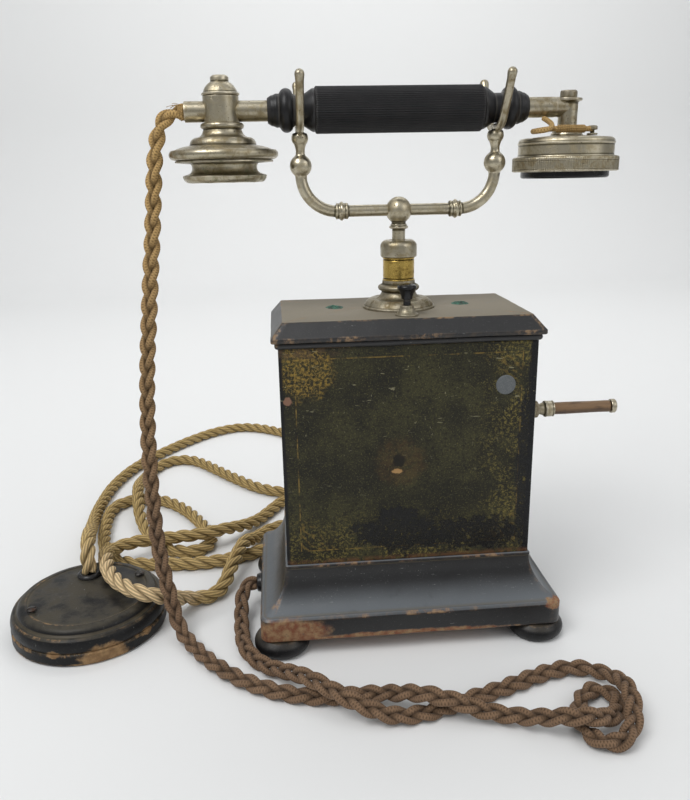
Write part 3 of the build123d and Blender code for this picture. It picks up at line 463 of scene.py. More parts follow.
def textile(name, dye, pitch, tilt, crossed, depth):
    """Cloth or fibre that a function dyes, with painted shade between its threads and in the seams between
    its strands.
    """
    paint = Paint(name)
    ridges = threads(paint, pitch, tilt, crossed)
    fuzz = paint.noise(0.7, 4, 0.7)
    dye(paint)
    dark = paint.add("ShaderNodeHueSaturation")
    dark.inputs["Value"].default_value = 0.36
    paint.feed(dark.inputs["Color"], paint.colour)
    between = paint.flip(paint.plus(paint.times(ridges, 0.8), paint.times(fuzz, 0.35), clamp=True))
    blotches = paint.times(paint.spots(0.48, 0.68, 2.2, 4, 0.7), 0.28)
    seams = paint.times(paint.span(paint.edge(), -0.1, -0.85), 0.8)
    # Painted shade between the threads and in the seams between strands, and soiled blotches, all in the
    # darker colour.
    paint.coat(paint.either(between, seams, blotches), dark.outputs[0])
    paint.set("Sheen Weight", 0.06)
    paint.set("Specular IOR Level", 0.15)
    relief = paint.plus(ridges, paint.times(fuzz, 0.9))
    return paint.done(paint.plus(0.8, paint.times(fuzz, 0.2)), relief, depth)


def plait_colour(paint):
    """Tan near the handset, mauve brown on the table, soiled in patches."""
    height = paint.span(paint.axes()[2], 0.06, 0.36)
    low = paint.mix(paint.noise(10, 4), tint(116, 92, 72), tint(142, 115, 90))
    high = paint.mix(paint.noise(8, 4), tint(176, 143, 90), tint(204, 170, 114))
    paint.colour = paint.mix(height, low, high)
    soiled = paint.spots(0.52, 0.72, 14, 5, 0.6)
    paint.coat(soiled, tint(84, 66, 50), 0.4)


def rope_colour(paint):
    """Straw, olive in the far coils and pale where the near loop lies over the rosette."""
    straw = paint.mix(paint.noise(14, 4), tint(190, 161, 104), tint(216, 188, 132))
    far = paint.span(paint.axes()[1], 0.03, 0.16)
    paint.colour = paint.mix(paint.times(far, 0.45), straw, tint(168, 143, 90))
    # Paler on the near loop where it lies over the rosette.
    pale_over_rosette = paint.near((-188, -18, 30), 62, 20, 30)
    paint.coat(pale_over_rosette, tint(238, 210, 166), 0.75)
    stained = paint.spots(0.60, 0.70, 16, 5, 0.6)
    paint.coat(stained, tint(156, 122, 66), 0.5)


# ---- Forms ----


class Form:
    """A surface in the making: corners in metres, faces, and each corner's edge mark.

    The mark is 1 on an edge and -1 in a groove.
    """

    def __init__(self, corners, faces, edges, uv=None):
        self.corners = np.asarray(corners, float)
        self.faces = faces
        self.edges = np.asarray(edges, float)
        self.uv = uv or []

    def __add__(self, other):
        shift = len(self.corners)
        faces = self.faces + [tuple(shift + k for k in face) for face in other.faces]
        corners = np.vstack([self.corners, other.corners])
        return Form(corners, faces, np.concatenate([self.edges, other.edges]), self.uv + other.uv)

    def at(self, x=0.0, y=0.0, z=0.0):
        """The form, moved by millimetres."""
        return Form(self.corners + np.array([x, y, z]) * MM, self.faces, self.edges, self.uv)

    def turned(self, angle, axis):
        """The form, turned about an axis through the origin, in degrees."""
        turn = np.array(Matrix.Rotation(math.radians(angle), 3, axis))
        return Form(self.corners @ turn.T, self.faces, self.edges, self.uv)


def joined_forms(forms):
    whole = forms[0]
    for form in forms[1:]:
        whole = whole + form
    return whole


def arc(start, middle, end, steps=10):
    """Points after the first on the arc through three points."""
    (ax, ay), (bx, by), (cx, cy) = start, middle, end
    double = 2 * (ax * (by - cy) + bx * (cy - ay) + cx * (ay - by))
    a, b, c = ax * ax + ay * ay, bx * bx + by * by, cx * cx + cy * cy
    x = (a * (by - cy) + b * (cy - ay) + c * (ay - by)) / double
    y = (a * (cx - bx) + b * (ax - cx) + c * (bx - ax)) / double
    first, through, last = (math.atan2(q - y, p - x) for p, q in (start, middle, end))
    swing = (last - first) % math.tau
    if (through - first) % math.tau > swing:
        swing -= math.tau
    radius = math.hypot(ax - x, ay - y)
    angles = [first + swing * k / steps for k in range(1, steps + 1)]
    return [(x + radius * math.cos(angle), y + radius * math.sin(angle)) for angle in angles]


def outline(start, *steps):
    """A line of points. A step is a corner, or a pair of a middle and an end point for an arc."""
    points = [start]
    for step in steps:
        points += arc(points[-1], *step) if isinstance(step[0], tuple) else [step]
    return points


def eased(points, ease, closed):
    """An outline in millimetres with its corners rounded, and an edge mark for each point."""
    count = len(points)
    area = sum(p[0] * q[1] - q[0] * p[1] for p, q in zip(points, points[1:] + points[:1]))
    side = math.copysign(1, area)
    fade, room = 1.3, 2.2
    least_bend, full_bend = math.radians(14), math.radians(50)
    result = []
    for i, point in enumerate(points):
        here = Vector(point)
        if not closed and i in (0, count - 1):
            result.append((*here, 0.0))
            continue
        back, on = Vector(points[i - 1]) - here, Vector(points[(i + 1) % count]) - here
        bend = (-back).angle_signed(on, 0.0) * -side
        if abs(bend) < least_bend:
            result.append((*here, 0.0))
            continue
        mark = math.copysign(min(1.0, abs(bend) / full_bend), bend)
        cut = min(ease * math.tan(abs(bend) / 2), ease * 1.5, 0.42 * min(back.length, on.length))
        start, end = here + back.normalized() * cut, here + on.normalized() * cut
        if back.length > room * (cut + fade):
            result.append((*(here + back.normalized() * (cut + fade)), 0.0))
        for k in range(4):
            t = k / 3
            spot = start * (1 - t) ** 2 + here * 2 * t * (1 - t) + end * t ** 2
            result.append((*spot, mark))
        if on.length > room * (cut + fade):
            result.append((*(here + on.normalized() * (cut + fade)), 0.0))
    return result


def loft(rings, edges, joined=False):
    """A skin over rings of points. joined closes the last on the first, else a fan closes each end."""
    rings = np.asarray(rings, float)
    count, size = rings.shape[:2]
    corners = rings.reshape(-1, 3)
    marks = np.broadcast_to(np.asarray(edges, float).reshape(count, -1), (count, size)).reshape(-1)
    faces = []
    for i in range(count if joined else count - 1):
        a, b = i * size, (i + 1) % count * size
        faces += [(a + j, a + (j + 1) % size, b + (j + 1) % size, b + j) for j in range(size)]
    if not joined:
        middles = np.array([rings[0].mean(0), rings[-1].mean(0)])
        corners = np.vstack([corners, middles])
        marks = np.concatenate([marks, [0.0, 0.0]])
        top, last = count * size + 1, (count - 1) * size
        faces += [(top - 1, (j + 1) % size, j) for j in range(size)]
        faces += [(top, last + j, last + (j + 1) % size) for j in range(size)]
    return Form(corners, faces, marks)


def lathe(*steps, ease=0.4, segments=96, flutes=None):
    """A form turned about +Z from an outline in radii and heights.

    It is a solid where both ends of the outline are on the axis, and else a ring.
    """
    solid = steps[0][0] == 0
    profile = eased(outline(*steps), ease, not solid)
    if solid:
        profile = [p for p in profile if p[0] > 1e-6]
    angles = np.arange(segments) * math.tau / segments
    rings = []
    for radius, height, _ in profile:
        around = np.full(segments, radius)
        if flutes:
            around = around + flutes(angles, radius, height)
        rings.append(np.stack([around * np.cos(angles), around * np.sin(angles), np.full(segments, height)],
            1))
    return loft(np.array(rings) * MM, [mark for _, _, mark in profile], joined=not solid)


def lathe_x(*steps, **more):
    """A form turned about +X from an outline in places along X and radii."""
    flipped = []
    for step in steps:
        pair = isinstance(step[0], tuple)
        flipped.append(tuple((r, x) for x, r in step) if pair else (step[1], step[0]))
    return lathe(*flipped, **more).turned(90, "Y")


def moulding(half_width, half_depth, *steps, ease=0.5, corner=1.2, solid=True):
    """A form of rounded rectangles, from an outline in projections past the half sizes and heights."""
    profile = eased(outline(*steps), ease, not solid)
    across, along = (max(2, int(2 * half / 2.5)) for half in (half_width, half_depth))
    rings, marks = [], []
    for out, height, mark in profile:
        w, d = half_width + out, half_depth + out
        r = min(corner(out, height) if callable(corner) else corner, 0.9 * w, 0.9 * d)
        ring, edge = [], []
        middles = [(w - r, d - r), (r - w, d - r), (r - w, r - d), (w - r, r - d)]
        for k, (x, y) in enumerate(middles):
            for angle in np.linspace(0, math.pi / 2, 6) + k * math.pi / 2:
                ring.append((x + r * math.cos(angle), y + r * math.sin(angle), height))
                edge.append(1.0)
            far = middles[(k + 1) % 4]
            start = Vector(ring[-1])
            end = Vector((far[0] + r * math.cos((k + 1) * math.pi / 2), far[1]
                + r * math.sin((k + 1) * math.pi / 2), height))
            steps_here = along if k % 2 else across
            for j in range(1, steps_here):
                ring.append(tuple(start.lerp(end, j / steps_here)))
                edge.append(0.0)
        rings.append(ring)
        marks.append(np.maximum(np.array(edge), mark) if mark >= 0 else np.full(len(edge), mark))
    return loft(np.array(rings) * MM, np.array(marks), joined=not solid)


def board(low, high, ease=0.5, facing="z"):
    """A board between two corners in millimetres, with its outline eased."""
    size = [b - a for a, b in zip(low, high)]
    middle = [(a + b) / 2 for a, b in zip(low, high)]
    w, d, t = {"z": (0, 1, 2), "y": (0, 2, 1), "x": (2, 1, 0)}[facing]
    half = size[t] / 2
    inset = -min(2.5, 0.3 * size[w], 0.3 * size[d])
    outline_steps = (inset, -half), (0, -half), (0, half), (inset, half)
    form = moulding(size[w] / 2, size[d] / 2, *outline_steps, ease=ease, corner=ease)
    if facing == "y":
        form = form.turned(90, "X")
    if facing == "x":
        form = form.turned(90, "Y")
    return form.at(*middle)


def run_frames(line):
    """Tangents of a line of points, and two directions across it that don't twist."""
    ahead = np.gradient(line, axis=0)
    ahead /= np.linalg.norm(ahead, axis=1)[:, None]
    across = np.zeros_like(ahead)
    first = np.cross(ahead[0], [0.0, 0.0, 1.0])
    if np.linalg.norm(first) < 0.1:
        first = np.cross(ahead[0], [0.0, 1.0, 0.0])
    across[0] = first / np.linalg.norm(first)
    for i in range(1, len(line)):
        side = across[i - 1] - ahead[i] * np.dot(across[i - 1], ahead[i])
        across[i] = side / np.linalg.norm(side)
    return ahead, across, np.cross(ahead, across)


def sweep(line, radii, segments, edges=0.0, uv=False):
    """A round form along a line of points in metres. uv gives its skin turns across and metres along."""
    line = np.asarray(line, float)
    _, across, up = run_frames(line)
    angles = np.arange(segments) * math.tau / segments
    radii = np.broadcast_to(np.asarray(radii, float), len(line))
    rings = line[:, None, :] + radii[:, None, None] * (across[:, None, :] * np.cos(angles)[None, :, None]
        + up[:, None, :] * np.sin(angles)[None, :, None])
    marks = np.broadcast_to(np.asarray(edges, float), len(line))
    form = loft(rings, marks)
    if uv:
        steps = run_length(line)
        form.uv = [[(j / segments, steps[i]), ((j + 1) / segments, steps[i]),
            ((j + 1) / segments, steps[i + 1]), (j / segments, steps[i + 1])] for i in range(len(line) - 1)
            for j in range(segments)]
        form.uv += [[(0.5, steps[0])] * 3] * segments + [[(0.5, steps[-1])] * 3] * segments
    return form


def rod_line(points, radius):
    """A bent rod's middle line in metres, from its corners and their radius in millimetres."""
    step = 0.6
    points = [Vector(p) for p in points]
    line = [points[0]]
    for before, here, after in zip(points, points[1:], points[2:]):
        back, on = (before - here).normalized(), (after - here).normalized()
        half = back.angle(on) / 2
        cut = radius / math.tan(half)
        middle = here + (back + on).normalized() * radius / math.sin(half)
        start, end = here + back * cut - middle, here + on * cut - middle
        turns = max(4, int(start.angle(end) * radius / step))
        first, last = start.normalized(), end.normalized()
        line += [middle + first.slerp(last, k / turns) * radius for k in range(turns + 1)]
    line.append(points[-1])
    even = []
    for a, b in zip(line, line[1:]):
        parts = max(1, round((b - a).length / step))
        even += [a.lerp(b, k / parts) for k in range(parts)]
    even.append(line[-1])
    return np.array([tuple(p) for p in even]) * MM


def run_length(line):
    """How far along a line each of its points is."""
    return np.concatenate([[0], np.cumsum(np.linalg.norm(np.diff(line, axis=0), axis=1))])


def piece(name, form, body, finish, *stands_for, uneven=0.0, lump=25.0):
    """A finished mesh piece on its body. Its finish is a slot's name, which is not used, with a material.

    uneven moves its skin in and out by millimetres, as handwork does, in lumps of lump millimetres.
    """
    mesh = bpy.data.meshes.new(name)
    mesh.from_pydata([tuple(c) for c in form.corners], [], form.faces)
    if form.uv:
        layer = mesh.uv_layers.new(name="strand")
        layer.data.foreach_set("uv", np.array([u for face in form.uv for u in face], np.float32).ravel())
    mesh.attributes.new("edge", "FLOAT", "POINT").data.foreach_set("value", form.edges.astype(np.float32))
    work = bmesh.new()
    work.from_mesh(mesh)
    bmesh.ops.recalc_face_normals(work, faces=work.faces)
    work.to_mesh(mesh)
    work.free()
    if uneven:
        ways = [vertex.normal.copy() for vertex in mesh.vertices]
        for vertex, way in zip(mesh.vertices, ways):
            swell = noise.noise(vertex.co / (lump * MM)) + 0.4 * noise.noise(vertex.co / (lump * MM * 0.3))
            vertex.co += way * swell * uneven * MM
    for polygon in mesh.polygons:
        polygon.use_smooth = True
    slot, material = finish
    mesh.materials.append(material)
    thing = linked(name, mesh)
    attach(thing, body)
    if stands_for:
        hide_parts(*stands_for)
    return thing


def seat(node):
    """The middle of a CAD node's footprint, and its lowest height, in millimetres."""
    low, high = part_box(node)
    return (low.x + high.x) / 2 / MM, (low.y + high.y) / 2 / MM, low.z / MM


def turned_piece(name, node, body, finish, *steps, uneven=0.0, lump=25.0, **turning):
    """A piece turned about +Z that stands where its CAD node does."""
    form = lathe(*steps, **turning).at(*seat(node))
    return piece(name, form, body, finish, node, uneven=uneven, lump=lump)


def box_mm(node):
    """The low and high corners of a CAD node's box, in millimetres."""
    low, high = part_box(node)
    return [v / MM for v in low], [v / MM for v in high]


# ---- The finishes: a slot's name, or None where only CAD nodes have it, and a material ----

LACQUER = "black_lacquer", black_lacquer("black_lacquer", dust_and_sheen=0.35)
CAP_LACQUER = "black_lacquer", black_lacquer("cap_lacquer", dust_and_sheen=0.95, wear=0.7,
    dust_and_sheen_colour=tint(126, 118, 101), cover=0.10, scuffed=0.5, flat=0.9, sheen=0.65)
NICKEL = "nickel_plate", aged_nickel("aged_nickel", stain=0.45)
WARM_NICKEL = "nickel_plate", aged_nickel("warm_nickel", stain=0.75, dark=0.12)
GREEN_NICKEL = "nickel_plate", aged_nickel("green_nickel", stain=0.7, dark=0.12, green=0.6, shine=0.30)
DULL_NICKEL = "nickel_plate", aged_nickel("dull_nickel", stain=0.9, dark=0.35, green=0.25, shine=0.42)
BRASS = "brass_metal", old_brass("old_brass")
CRUST = "brass_metal", verdigris("verdigris")
EBONITE = "black_ebonite", ebonite("ebonite")
GRIP_EBONITE = "black_ebonite", ebonite("grip_ebonite", brown=0.5, gloss=0.34)
GLOSS_EBONITE = "black_ebonite", ebonite("gloss_ebonite", brown=0.1, gloss=0.16)
HANDLE_WOOD = "worn_wood", turned_wood("handle_wood")
BOARD_WOOD = None, plain_wood("board_wood")
STEEL = "nickel_plate", dark_steel("dark_steel")
WINDING = None, wire_winding("wire_winding")
PLAIT = "brown_braid", textile("plait_cotton", plait_colour, pitch=1.5, tilt=3, crossed=True, depth=0.28)
ROPE = "beige_rope", textile("rope_fibre", rope_colour, pitch=9.0, tilt=7, crossed=False, depth=0.30)
SERVING = "brown_braid", textile("lead_serving", plait_colour, pitch=0.8, tilt=1, crossed=False, depth=0.2)


# ---- Case ----

CASE_LOW, CASE_HIGH = box_mm("front_panel")
HALF_WIDTH = CASE_HIGH[0]
HALF_DEPTH = -CASE_LOW[1]
BOARD = CASE_HIGH[1] - CASE_LOW[1]


FACE, FOOT, HEAD = CASE_LOW[1], CASE_LOW[2], CASE_HIGH[2]
MIDDLE = (FOOT + HEAD) / 2
GOLD = tint(150, 122, 58)


def paint_ground(paint, x, z):
    """Olive bronze speckle on black, with gilt specks at the right and the bottom. It gives the speckle."""
    ground = paint.mix(paint.noise(45, 3), tint(18, 18, 13), tint(34, 33, 22))
    veil = paint.spots(0.38, 0.68, 26, 4, 0.6)
    paint.colour = paint.mix(paint.times(veil, 0.7), ground, tint(60, 58, 34))
    grains = paint.spots(0.53, 0.66, 1.0, 3, 0.75)
    paint.coat(grains, tint(108, 101, 56), 0.55)
    rim = paint.either(paint.span(x, 0.035, 0.07), paint.span(z, (FOOT + 42) * MM, (FOOT + 8) * MM))
    gilt = paint.times(rim, paint.spots(0.46, 0.62, 2.0, 5, 0.75), paint.spots(0.36, 0.6, 16, 4))
    paint.coat(gilt, tint(134, 120, 60), 0.75)
    soot = paint.spots(0.50, 0.62, 2.4, 5, 0.75)
    paint.coat(soot, tint(18, 17, 14), 0.75)
    return grains


def paint_medallion(paint):
    """A faded round ornament, with painted shade of a hole at its heart."""
    medallion = paint.near((-6, FACE, MIDDLE - 3), 19, 9, 9)
    paint.coat(paint.times(medallion, paint.spots(0.3, 0.6, 3, 4, 0.7)), tint(86, 64, 34), 0.35)
    # Painted shade: a black spot where the ornament has a hole.
    hole_shade = paint.near((-7, FACE, MIDDLE - 3), 5, 3, 4)
    paint.coat(hole_shade, tint(14, 13, 11), 0.85)


def paint_gold(paint, x, z):
    """A gold line round the panel, and scrolls in its corners."""
    across = paint.math("ABSOLUTE", x)
    up = paint.math("ABSOLUTE", paint.minus(z, (MIDDLE + 1.3) * MM))
    line_x, line_z = 0.0705, 0.0637
    beside = paint.math("ABSOLUTE", paint.minus(across, line_x))
    above = paint.math("ABSOLUTE", paint.minus(up, line_z))
    upright = paint.times(paint.span(beside, 0.0005, 0.0002), paint.span(up, line_z + 0.0004, line_z))
    level = paint.times(paint.span(above, 0.0005, 0.0002), paint.span(across, line_x + 0.0004, line_x))
    kept = paint.spots(0.42, 0.60, 7, 5, 0.7)
    paint.coat(paint.times(paint.either(upright, level), kept), GOLD, 0.55)

    corner = paint.plus(paint.minus(line_x, across), paint.minus(line_z, up))
    inside = paint.times(paint.span(across, line_x, line_x - 0.001), paint.span(up, line_z, line_z - 0.001))
    scrolls = paint.wave(3.0, distortion=9.0, direction="DIAGONAL")
    scrolls = paint.span(scrolls, 0.60, 0.85)
    fret = paint.times(scrolls, inside, paint.span(corner, 0.033, 0.016))
    paint.coat(paint.times(fret, paint.spots(0.42, 0.58, 3, 4)), GOLD, 0.3)
    bright = paint.near((-64, FACE, HEAD - 14), 20, 12, 8)
    flaked = paint.spots(0.46, 0.60, 1.7, 5, 0.75)
    paint.coat(paint.times(bright, flaked), tint(152, 124, 54), 0.7)


def paint_losses(paint, x):
    """Black where the paint is gone, and along both sides. It gives the places that are gone."""
    black = tint(13, 13, 15)
    bottom = paint.near((-8, FACE, FOOT + 21), 29, 34, 12, (0.8, 1, 1.6))
    low_right = paint.near((42, FACE, FOOT + 16), 32, 30, 9, (0.75, 1, 2.4))
    right = paint.near((77, FACE, FOOT + 60), 40, 12, 7, (4.2, 1, 0.55))
    right_top = paint.near((80, FACE, HEAD - 25), 42, 10, 7, (6.5, 1, 0.6))
    lost = paint.either(bottom, low_right, right, right_top)
    lost = paint.times(lost, paint.spots(0.30, 0.46, 3.2, 5, 0.7))
    paint.coat(lost, black, 0.9)
    left_strip = paint.span(x, (3.2 - HALF_WIDTH) * MM, (1.2 - HALF_WIDTH) * MM)
    right_strip = paint.span(x, (HALF_WIDTH - 4.2) * MM, (HALF_WIDTH - 3.4) * MM)
    paint.coat(paint.either(left_strip, right_strip), black)
    return lost


def paint_wear(paint, x, z):
    """Scratches, brown edges and two chips of bare wood. It gives the chips."""
    line_scratch = scuffs(paint, 2.4, 0.68, 0.72)
    high_up = paint.span(z, (FOOT + 50) * MM, (HEAD - 20) * MM)
    line_scratch = paint.times(line_scratch, paint.plus(0.12, paint.times(high_up, 0.4)))
    paint.coat(line_scratch, tint(160, 154, 122))
    low_edge = paint.times(paint.span(z, (FOOT + 4.5) * MM, (FOOT + 1.0) * MM),
        paint.spots(0.36, 0.56, 5, 5, 0.7))
    paint.coat(low_edge, tint(92, 62, 40), 0.8)
    high_edge = paint.times(paint.span(z, (HEAD - 9) * MM, (HEAD - 4) * MM), paint.span(x, -0.03, -0.06),
        paint.spots(0.40, 0.60, 4, 5, 0.7))
    paint.coat(high_edge, tint(100, 78, 56), 0.5)
    chip = paint.near((-8, FACE, MIDDLE - 10), 2.7, 1.8, 3, (0.7, 1, 1.4))
    paint.coat(chip, tint(158, 124, 80))
    side_chip = paint.near((-75.5, FACE, HEAD - 33), 2.9, 1.6, 3)
    paint.coat(side_chip, tint(124, 92, 74))
    return paint.either(chip, side_chip)


def painted_front():
    """The front's worn paint."""
    paint = Paint("painted_front")
    paint.set("Specular IOR Level", 0.28)
    x, _, z = paint.axes()
    grains = paint_ground(paint, x, z)
    paint_medallion(paint)
    paint_gold(paint, x, z)
    lost = paint_losses(paint, x)
    chips = paint_wear(paint, x, z)
    rough = paint.minus(paint.plus(0.42, paint.times(grains, 0.2)), paint.times(lost, 0.22))
    relief = paint.minus(paint.noise(1.2, 5, 0.7), paint.times(lost, 0.8))
    return paint.done(rough, paint.minus(relief, chips), 0.14)


def worn_plinth():
    """The plinth's lacquer, bare and rusty brown at its front left corner and along its lower edge."""
    low, high = box_mm("plinth")
    corner = ((low[0] + 18, low[1], low[2] + 6), 27, 12, 9, (0.9, 1, 2.3))
    around = ((low[0], low[1] + 14, low[2] + 6), 22, 9, 7, (1, 1, 2.0))
    strip = ((-12, low[1], low[2] + 0.5), 80, 40, 11, (1, 1, 20))
    right = ((high[0] - 4, low[1] + 2, low[2] + 15), 8, 5, 4, (1, 1, 2))
    # Its blue-grey coat on the upward faces is real dusting and a painted sheen on the cove.
    return black_lacquer("plinth_lacquer", dust_and_sheen=0.78, sheen=0.6, wear=0.7, dust_and_sheen_colour=tint(104, 110, 115),
        gloss=0.24, cover=0.10, bald=(corner, around, strip, right), scuffed=0.75, rust=tint(116, 66, 42))


FRONT_PAINT = "painted_panel", painted_front()
PLINTH_LACQUER = "black_lacquer", worn_plinth()


def make_plinth():
    low, high = box_mm("plinth")
    out = high[0] - HALF_WIDTH
    band_top = low[2] + 16.5

    def corner(beyond, _):
        return 1.0 + 5.5 * max(0.0, (beyond - 6) / (out - 6)) ** 1.5

    plinth = moulding(HALF_WIDTH, HALF_DEPTH, (out - 1.2, low[2]), (out, low[2] + 1.2),
        (out, band_top - 1.4), (out - 1.5, band_top + 0.3), (out - 2.6, band_top + 0.1),
        ((5.6, 38.5), (0.9, high[2] - 1.8)), (1.2, high[2] - 1.6), (1.2, high[2]), (-BOARD, high[2]),
        (-BOARD, low[2]), corner=corner, solid=False, ease=0.7)
    piece("plinth_moulding", plinth, "root", PLINTH_LACQUER, "plinth", uneven=0.25, lump=30)


def make_feet():
    foot = lathe((0, 0), (13.4, 0), ((18.3, 5.4), (16.2, 10.2)), (15.0, 11.7), (0, 11.7), ease=0.8,
        segments=72)
    low, high = box_mm("feet")
    inset, deep = ((b - a) / 2 - 18.4 for a, b in zip(low[:2], high[:2]))
    feet = [foot.at(x, y) for y in (deep, -deep) for x in (inset, -inset)]
    piece("bun_feet", joined_forms(feet), "root", LACQUER, "feet", uneven=0.2, lump=12)


def make_boards():
    piece("front_board", board(CASE_LOW, CASE_HIGH, 0.7, "y"), "root", FRONT_PAINT, "front_panel")
    low, high = box_mm("side_panels")
    right = board((HALF_WIDTH - BOARD, low[1], low[2]), high, 0.6, "x")
    left = board(low, (BOARD - HALF_WIDTH, high[1], high[2]), 0.6, "x")
    piece("side_boards", left + right, "root", LACQUER, "side_panels")
    piece("rear_board", board(*box_mm("rear_panel"), 0.6, "y"), "root", LACQUER, "rear_panel")

    plug_x, plug_z = 60.2, 172.8
    plug = lathe((0, -0.3), (6.0, -0.3), (6.3, 0.2), (5.9, 0.45), (0, 0.5), ease=0.2, segments=48)
    plug = plug.turned(90, "X").at(plug_x, FACE, plug_z)
    piece("panel_plug_disc", plug, "root", PLUG_METAL, "panel_plug")


def make_cap():
    low, high = box_mm("top_cap")
    out = high[0] - HALF_WIDTH
    cap = moulding(HALF_WIDTH, HALF_DEPTH, (-30, low[2]), (1.0, low[2]),
        ((1.9, low[2] + 1.9), (1.0, low[2] + 3.8)), (out - 0.4, low[2] + 3.8), (out, low[2] + 4.4),
        (out, low[2] + 6.4), (out - 7.1, high[2]), (-16, high[2] + 0.1), (-30, high[2] + 0.1),
        (-43, high[2] + 0.1), corner=1.4, ease=0.7)
    piece("cap_moulding", cap, "root", CAP_LACQUER, "top_cap", uneven=0.3, lump=34)

    x, y, z = seat("top_bushes")
    reach = (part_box("top_bushes")[1].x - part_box("top_bushes")[0].x) / 2 / MM - 5.2
    ring = lathe((2.2, 1.6), (2.4, 4.2), (3.6, 4.8), (5.0, 4.3), (6.2, 3.8), (6.6, 3.6), (4, 1.6), ease=0.4,
        segments=40)
    bushes = ring.at(x - reach, y, z) + ring.at(x + reach, y, z)
    piece("cap_bushes", bushes, "root", CRUST, "top_bushes", uneven=0.5, lump=3)


def make_rear_screws():
    slot = board((-3.6, -0.5, 0.75), (3.6, 0.5, 1.3), 0.1)
    head = lathe((0, 0), (3.9, 0), (3.9, 0.3), ((2.2, 1.0), (0, 1.2)), ease=0.15, segments=32)
    screws = [(head + slot.turned(x + z, "Z")).turned(-90, "X").at(x, HALF_DEPTH, z) for x in (-66, 66)
        for z in (66, 190)]
    piece("rear_screws", joined_forms(screws), "root", DULL_NICKEL, "rear_panel_screws")


def plug_metal():
    """A grey blanking disc, pitted like zinc."""
    paint = Paint("zinc_disc", metallic=0.55)
    grain = paint.noise(0.8, 4, 0.75)
    paint.colour = paint.mix(paint.noise(2.5, 4, 0.7), tint(92, 96, 98), tint(130, 133, 133))
    paint.coat(paint.span(grain, 0.3, 0.7), tint(50, 54, 62), 0.4)
    return paint.done(paint.plus(0.45, paint.times(grain, 0.2)), grain, 0.2)


PLUG_METAL = "nickel_plate", plug_metal()
for make in (make_plinth, make_feet, make_boards, make_cap, make_rear_screws):
    make()


# ---- Column, cradle and button ----


def make_column():
    turned_piece("column_foot", "column_base", "root", DULL_NICKEL, (0, 0), (23.4, 0), (23.4, 1.3),
        (22.4, 2.1), ((20.9, 4.4), (18.6, 6.0)), (17.2, 6.2), ((12.9, 7.2), (11.0, 10.6)), (11.4, 11.2),
        ((13.3, 12.9), (12.6, 14.4)), (10.6, 15.4), (10.4, 17.8), (0, 17.8), uneven=0.1, lump=9)

    turned_piece("brass_barrel", "column_barrel", "root", BRASS, (0, 0), (10.3, 0), (10.3, 0.8), (9.9, 1.1),
        (9.9, 1.5), (10.1, 1.8), (10.1, 12.7), (9.9, 13.0), (9.9, 13.4), (10.3, 13.8), (10.3, 14.7),
        (0, 14.7), ease=0.2)

    turned_piece("column_collar", "column_cap", "root", WARM_NICKEL, (0, 0), (11.2, 0), (11.7, 0.6),
        (11.7, 7.0), ((10.6, 9.5), (8.0, 10.7)), (4.6, 10.8), (4.5, 9.6), (0, 9.6), ease=0.6, uneven=0.08,
        lump=8)


def bulge(places, centre, width):
    """A bell curve, 1 high, round a centre."""
    return np.exp(-((places - centre) / width) ** 2)


def ball_radii(places, centre, radius):
    """The radii along a rod of a ball on it."""
    return np.sqrt(np.clip(radius ** 2 - (places - centre) ** 2, 0, None))


# The radius of an arm's bend, and how far above the bend it ends.
ARM_BEND, ARM_RISE = 22.0, 26.3


def make_arm(word, side, x, bar):
    """An arm from the stem's ball out to x and up, with a ring on its level part and two balls above."""
    rod = 3.6
    low_ball, high_ball = (5.6, 6.75), (21.8, 5.15)
    line = rod_line([(side * 5, 0, bar), (x, 0, bar), (x, 0, bar + ARM_BEND + ARM_RISE)], ARM_BEND)
    rise = line[:, 2] / MM - bar - ARM_BEND
    ring = np.abs(36.3 - np.abs(line[:, 0]) / MM)
    marks = -bulge(ring, 4.3, 0.6) - 0.7 * bulge(ring, 2.1, 0.5)
    radii = rod + np.where(ring < 3.9, 1.1, 0) + 1.25 * bulge(ring, 0, 1.1)
    radii += 0.35 * bulge(ring, 3.2, 0.7) + 0.55 * bulge(rise, 0.6, 0.8) - 0.5 * bulge(rise, 1.8, 0.5)
    balls = np.maximum(ball_radii(rise, *low_ball), ball_radii(rise, *high_ball))
    radii = np.where(rise > 0, np.maximum(radii, balls), radii)
    neck = (rise > 9.0) & (rise < 19.0)
    waist = np.minimum(2.75 + 0.06 * (rise - 14.0) ** 2, radii)
    waist = np.maximum(waist, ball_radii(rise, *low_ball))
    radii = np.where(rise > 24.6, 2.6, np.where(neck, waist, radii))
    form = sweep(line, radii * MM, 40, marks)
    piece(f"cradle_arm_{word}", form, "cradle", NICKEL, uneven=0.05, lump=6)


def make_tines(word, x, low):
    """The bent rod on top of an arm, whose round ends are the fork's tips."""
    tip_y, tip_z, tip_radius = 32.0, box_mm("forks")[1][2] - 2.9, 2.6
    points = [(x, -tip_y, tip_z), (x, 9.5 - tip_y, 341.0), (x, -12.5, low)]
    points += [(px, -py, pz) for px, py, pz in reversed(points)]
    line = rod_line(points, 13)
    end = np.minimum(run_length(line), run_length(line[::-1])[::-1]) / MM
    cap = np.sqrt(np.clip(2.85 ** 2 - (tip_radius - end) ** 2, 0.3, None))
    radii = np.where(end < tip_radius, cap, 2.5 + 0.35 * bulge(end, tip_radius, 2.2))
    piece(f"fork_{word}_tines", sweep(line, radii * MM, 28), "cradle", WARM_NICKEL, uneven=0.05, lump=5)


